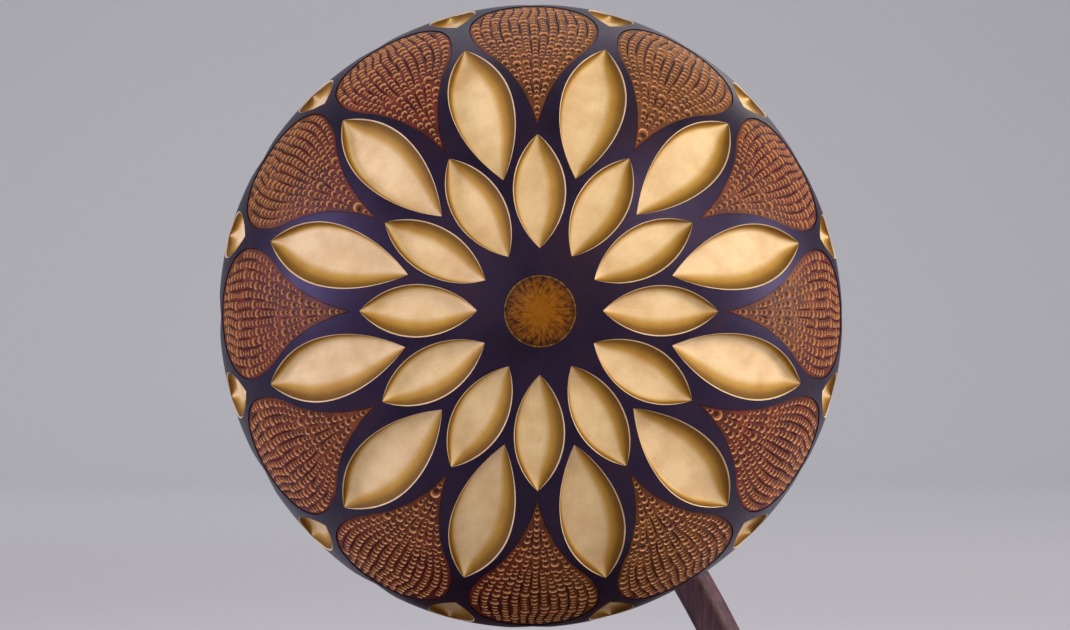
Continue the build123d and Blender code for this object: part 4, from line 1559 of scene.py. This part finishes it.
class Stock(Enum):
    """Finishes that the pieces are made in."""

    RIND = RindFinish()
    PETAL = PetalFinish()
    STAINED = PanelFinish()
    AMBER = AmberFinish()
    # The inside of the gourd, scraped and left bare: pale tan, matt and fibrous.
    FLESH = PlainFinish("gourd_flesh_scraped", "#c9a877", "#8f6a3e", 0.85, 4 * MM, 0.4 * MM, 0.6, ramp=(0.3, 0.7))
    # Grooves between the drilled rows: matt near-black brown with hardly any shine, painted shade in the grooves.
    GROOVE_SHADE = PlainFinish("gourd_rind_groove_shade", "#3d1a0d", "#230e08", 0.95, 1.5 * MM, 0.0, specular=0.1, detail=4.0,
                        raggedness=0.5)
    # Turned across the board, so the streaks run along X.
    BOARD = WoodFinish("hardwood_turned_stained", Grain.ACROSS_X)
    # Bent along its length, so the streaks climb with it.
    BENT = WoodFinish("hardwood_bent_stained", Grain.ALONG_ARM)
    # Brass that has stood unpolished for years: warm yellow with brown stains.
    BRASS = MetalFinish("brass_turned_aged", "#b98b45", "#7d5a2a")
    # Zinc on steel: cool pale grey.
    STEEL = MetalFinish("steel_zinc_plated", "#a9adb0", "#85888b")
    # Nickel on brass: a warmer pale grey.
    NICKEL = MetalFinish("brass_nickel_plated", "#b9b6ac", "#8f8c83")
    # Black brown resin, as smooth as its mould.
    PHENOLIC = PlainFinish("phenolic_moulded", "#1d1512", "#140e0c", 0.35, 1.5 * MM, 0.03 * MM)
    # Unglazed white ceramic, dry and even.
    CERAMIC = PlainFinish("steatite_fired", "#d9d5ca", "#c8c2b4", 0.6, 1.2 * MM, 0.04 * MM)
    # Milky glass with a clear gloss, and hardly any mottle.
    OPAL = PlainFinish("opal_glass_blown", "#ece7dc", "#e2dccf", 0.18, 12 * MM, 0.02 * MM)
    # Red brown board, dull and slightly grained.
    FIBRE = PlainFinish("vulcanised_fibre_pressed", "#6a2a1c", "#4f1e14", 0.7, 0.8 * MM, 0.05 * MM)
    # Dark green wool without any shine, its nap drawn coarse enough to show.
    FELT = PlainFinish("wool_felt_pressed", "#26302a", "#171d1a", 0.95, 0.9 * MM, 0.35 * MM)


@cache
def stocked(stock: Stock) -> bpy.types.Material:
    """Build a finish the first time it is asked for, and hand out the same material after that."""
    return stock.value.build()


@dataclass(frozen=True)
class Assembly:
    """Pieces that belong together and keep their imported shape.

    Attributes:
        name: What a person would call it.
        pieces: The nodes that have each finish.
    """

    name: str
    pieces: dict[Stock, tuple[str, ...]]

    def dress(self) -> None:
        """Give each node its finish."""
        for stock, nodes in self.pieces.items():
            for node in nodes:
                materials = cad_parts[node].data.materials
                materials.clear()
                materials.append(stocked(stock))
                LOG.info("%s, %s: %s", self.name, node, materials[0].name)


ASSEMBLIES = (
    Assembly("eye", {Stock.AMBER: ("eye_inlay",)}),
    Assembly("mouth fittings", {
        Stock.BOARD: ("mouth_ring", "rear_collar"),
        Stock.BRASS: ("threaded_tube", "front_nut", "rear_nut", "collar_washer"),
    }),
    Assembly("tilting knuckle", {
        Stock.BRASS: ("knuckle_tongue", "knuckle_fork", "tilt_bolt", "tilt_knob"),
        Stock.FIBRE: ("friction_washers",),
    }),
    Assembly("lamp holder", {
        Stock.PHENOLIC: ("holder_cap", "holder_skirt"),
        Stock.CERAMIC: ("contact_block",),
        Stock.BRASS: ("socket_shell", "centre_contact"),
    }),
    Assembly("bulb", {Stock.OPAL: ("bulb_glass",), Stock.NICKEL: ("bulb_cap",)}),
    Assembly("stand", {
        Stock.BOARD: ("base_disc",),
        Stock.BENT: ("bent_arm",),
        Stock.STEEL: ("arm_screw", "base_cover"),
        Stock.BRASS: ("cover_screws",),
        Stock.PHENOLIC: ("cord_bush",),
        Stock.FELT: ("felt_pad",),
    }),
)


@dataclass(frozen=True)
class Lamp:
    """One soft rectangular lamp.

    Attributes:
        name: Its name.
        place: Its place from the middle of the gourd.
        size: Width and height of its face.
        power: Its power in watts.
        colour: Colour of its light.
        target: Place that it faces, from the middle of the gourd.
        spread: Degrees over which the light leaves it, 180 without a grid.
    """

    name: str
    place: tuple[float, float, float]
    size: tuple[float, float]
    power: float
    colour: str
    target: tuple[float, float, float] = (0.0, 0.0, 0.0)
    spread: float = 180.0

    def build(self, middle: tuple[float, float, float]) -> None:
        """Add the lamp.

        Args:
            middle: Middle of the gourd.
        """
        data = bpy.data.lights.new(self.name, "AREA")
        data.shape = "RECTANGLE"
        data.size, data.size_y = self.size
        data.energy = self.power
        data.spread = math.radians(self.spread)
        data.color = linear(self.colour)[:3]
        lamp = bpy.data.objects.new(self.name, data)
        lamp.location = Vector(middle) + Vector(self.place)
        lamp.rotation_euler = (Vector(self.target) - Vector(self.place)).to_track_quat("-Z", "Y").to_euler()
        bpy.context.scene.collection.objects.link(lamp)


@dataclass(frozen=True)
class Studio:
    """Pale floor that curves up into the backdrop, soft lamps and the camera of the photograph.

    Attributes:
        photo: Width and height of the photograph in pixels.
        gourd_pixels: Width of the gourd in it.
        gourd_centre_pixels: Middle of the gourd in it.
        distance: From the camera to the gourd.
        far: How far the camera sees.
        left_turn: Degrees by which the camera stands to the left of the gourd's axis.
        low_tilt: Degrees by which it stands below it.
        sensor: Width of the sensor in millimetres.
        floor_half: Half the width of the floor, and its reach in front.
        floor_depth: From the lamp to the backdrop.
        backdrop_height: Height of the backdrop.
        bend: Radius of the curve between them.
        bend_points: Points along that curve.
        backdrop: Colour of the floor and backdrop.
        sky: Colour and strength of the plain world.
        lamps: The lamps.
    """

    photo: tuple[int, int] = (1070, 630)
    gourd_pixels: float = 620.0
    gourd_centre_pixels: tuple[float, float] = (531.0, 316.0)
    distance: float = 1.25
    far: float = 50.0
    left_turn: float = 1.9
    low_tilt: float = 1.0
    sensor: float = 36.0
    floor_half: float = 9.0
    floor_depth: float = 4.2
    backdrop_height: float = 2.4
    bend: float = 0.8
    bend_points: int = 16
    backdrop: str = "#cbcacf"
    sky: tuple[str, float] = ("#f1eff5", 0.32)
    lamps: tuple[Lamp, ...] = (
        Lamp("key", (0.80, -0.85, 0.70), (0.6, 0.6), 10.5, "#fff4e4"),
        Lamp("front_fill", (-0.50, -1.20, 0.35), (0.8, 0.6), 4.0, "#fdf5ee"),
        Lamp("left_side", (-1.00, -0.25, 0.24), (0.4, 0.5), 3.1, "#d0ccf2", spread=100.0),
        Lamp("right_side", (1.05, -0.12, 0.20), (0.4, 0.5), 2.8, "#dcd7ef", spread=100.0),
        Lamp("top", (0.0, 0.35, 1.2), (0.8, 0.5), 3.0, "#f3f1ff"),
        Lamp("rear_fill", (0.9, 1.5, 1.1), (0.8, 0.8), 3.5, "#fbf6f0"),
        Lamp("backdrop", (0.0, 2.2, 2.6), (3.0, 0.8), 46.0, "#f6f5f8", (0.0, 3.9, 0.2)),
    )

    def world(self) -> None:
        """Plain pale world."""
        world = bpy.data.worlds.new("studio")
        bpy.context.scene.world = world
        world.use_nodes = True
        tree = world.node_tree
        tree.nodes.clear()
        colour, strength = self.sky
        sky = add(tree, "ShaderNodeBackground", inputs={"Color": linear(colour), "Strength": strength})
        add(tree, "ShaderNodeOutputWorld", inputs={"Surface": sky})

    def floor(self) -> None:
        """Floor and backdrop from a profile of two straight runs and a quarter arc between them."""
        half, bend = self.floor_half, self.bend
        arc = np.linspace(0, math.pi / 2, self.bend_points)
        y = np.concatenate([[-half, 0.0], self.floor_depth - bend + bend * np.sin(arc), [self.floor_depth]])
        z = np.concatenate([[0.0, 0.0], bend - bend * np.cos(arc), [self.backdrop_height]])
        points = np.concatenate([np.stack([np.full_like(y, side), y, z], -1) for side in (-half, half)])
        count = len(y)
        step = np.arange(count - 1)
        faces = np.stack([step + 1, step, step + count, step + 1 + count], -1)
        mesh = bpy.data.meshes.new("floor")
        mesh.from_pydata(points.tolist(), [], faces.tolist())
        mesh.polygons.foreach_set("use_smooth", np.ones(len(faces), dtype=bool))
        piece = bpy.data.objects.new("floor", mesh)
        bpy.context.scene.collection.objects.link(piece)
        mesh.materials.append(
            new_material("paper_backdrop", {"Base Color": linear(self.backdrop), "Roughness": 0.9})[0])

    def camera(self, form: GourdForm) -> None:
        """Camera a little left of the gourd's axis and below it, framed as the photograph is.

        Args:
            form: The gourd, whose width and middle set the lens and the aim.
        """
        width_at_gourd = self.photo[0] / self.gourd_pixels * 2 * form.radius
        data = bpy.data.cameras.new("camera")
        data.sensor_width = self.sensor
        data.lens = self.sensor * self.distance / width_at_gourd
        data.shift_x = (self.photo[0] / 2 - self.gourd_centre_pixels[0]) / self.photo[0]
        data.shift_y = (self.gourd_centre_pixels[1] - self.photo[1] / 2) / self.photo[0]
        data.clip_end = self.far
        camera = bpy.data.objects.new("camera", data)
        turn, tilt = math.radians(self.left_turn), math.radians(self.low_tilt)
        away = Vector((-math.sin(turn) * math.cos(tilt), -math.cos(turn) * math.cos(tilt), -math.sin(tilt)))
        camera.location = Vector(form.centre) + away * self.distance
        camera.rotation_euler = (-away).to_track_quat("-Z", "Y").to_euler()
        bpy.context.scene.collection.objects.link(camera)
        bpy.context.scene.camera = camera

    def build(self, form: GourdForm) -> None:
        """Set up the whole studio.

        Args:
            form: The gourd.
        """
        bpy.context.scene.view_settings.view_transform = "Standard"
        for lamp in self.lamps:
            lamp.build(form.centre)
        self.world()
        self.floor()
        self.camera(form)


def main() -> None:
    """Build and dress everything in order."""
    logging.basicConfig(level=logging.INFO, format="%(message)s")
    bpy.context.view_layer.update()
    shade = CarvedShade()
    shade.dress(shade.build())
    for assembly in ASSEMBLIES:
        assembly.dress()
    Studio().build(shade.form)


if __name__ == "__main__":
    main()
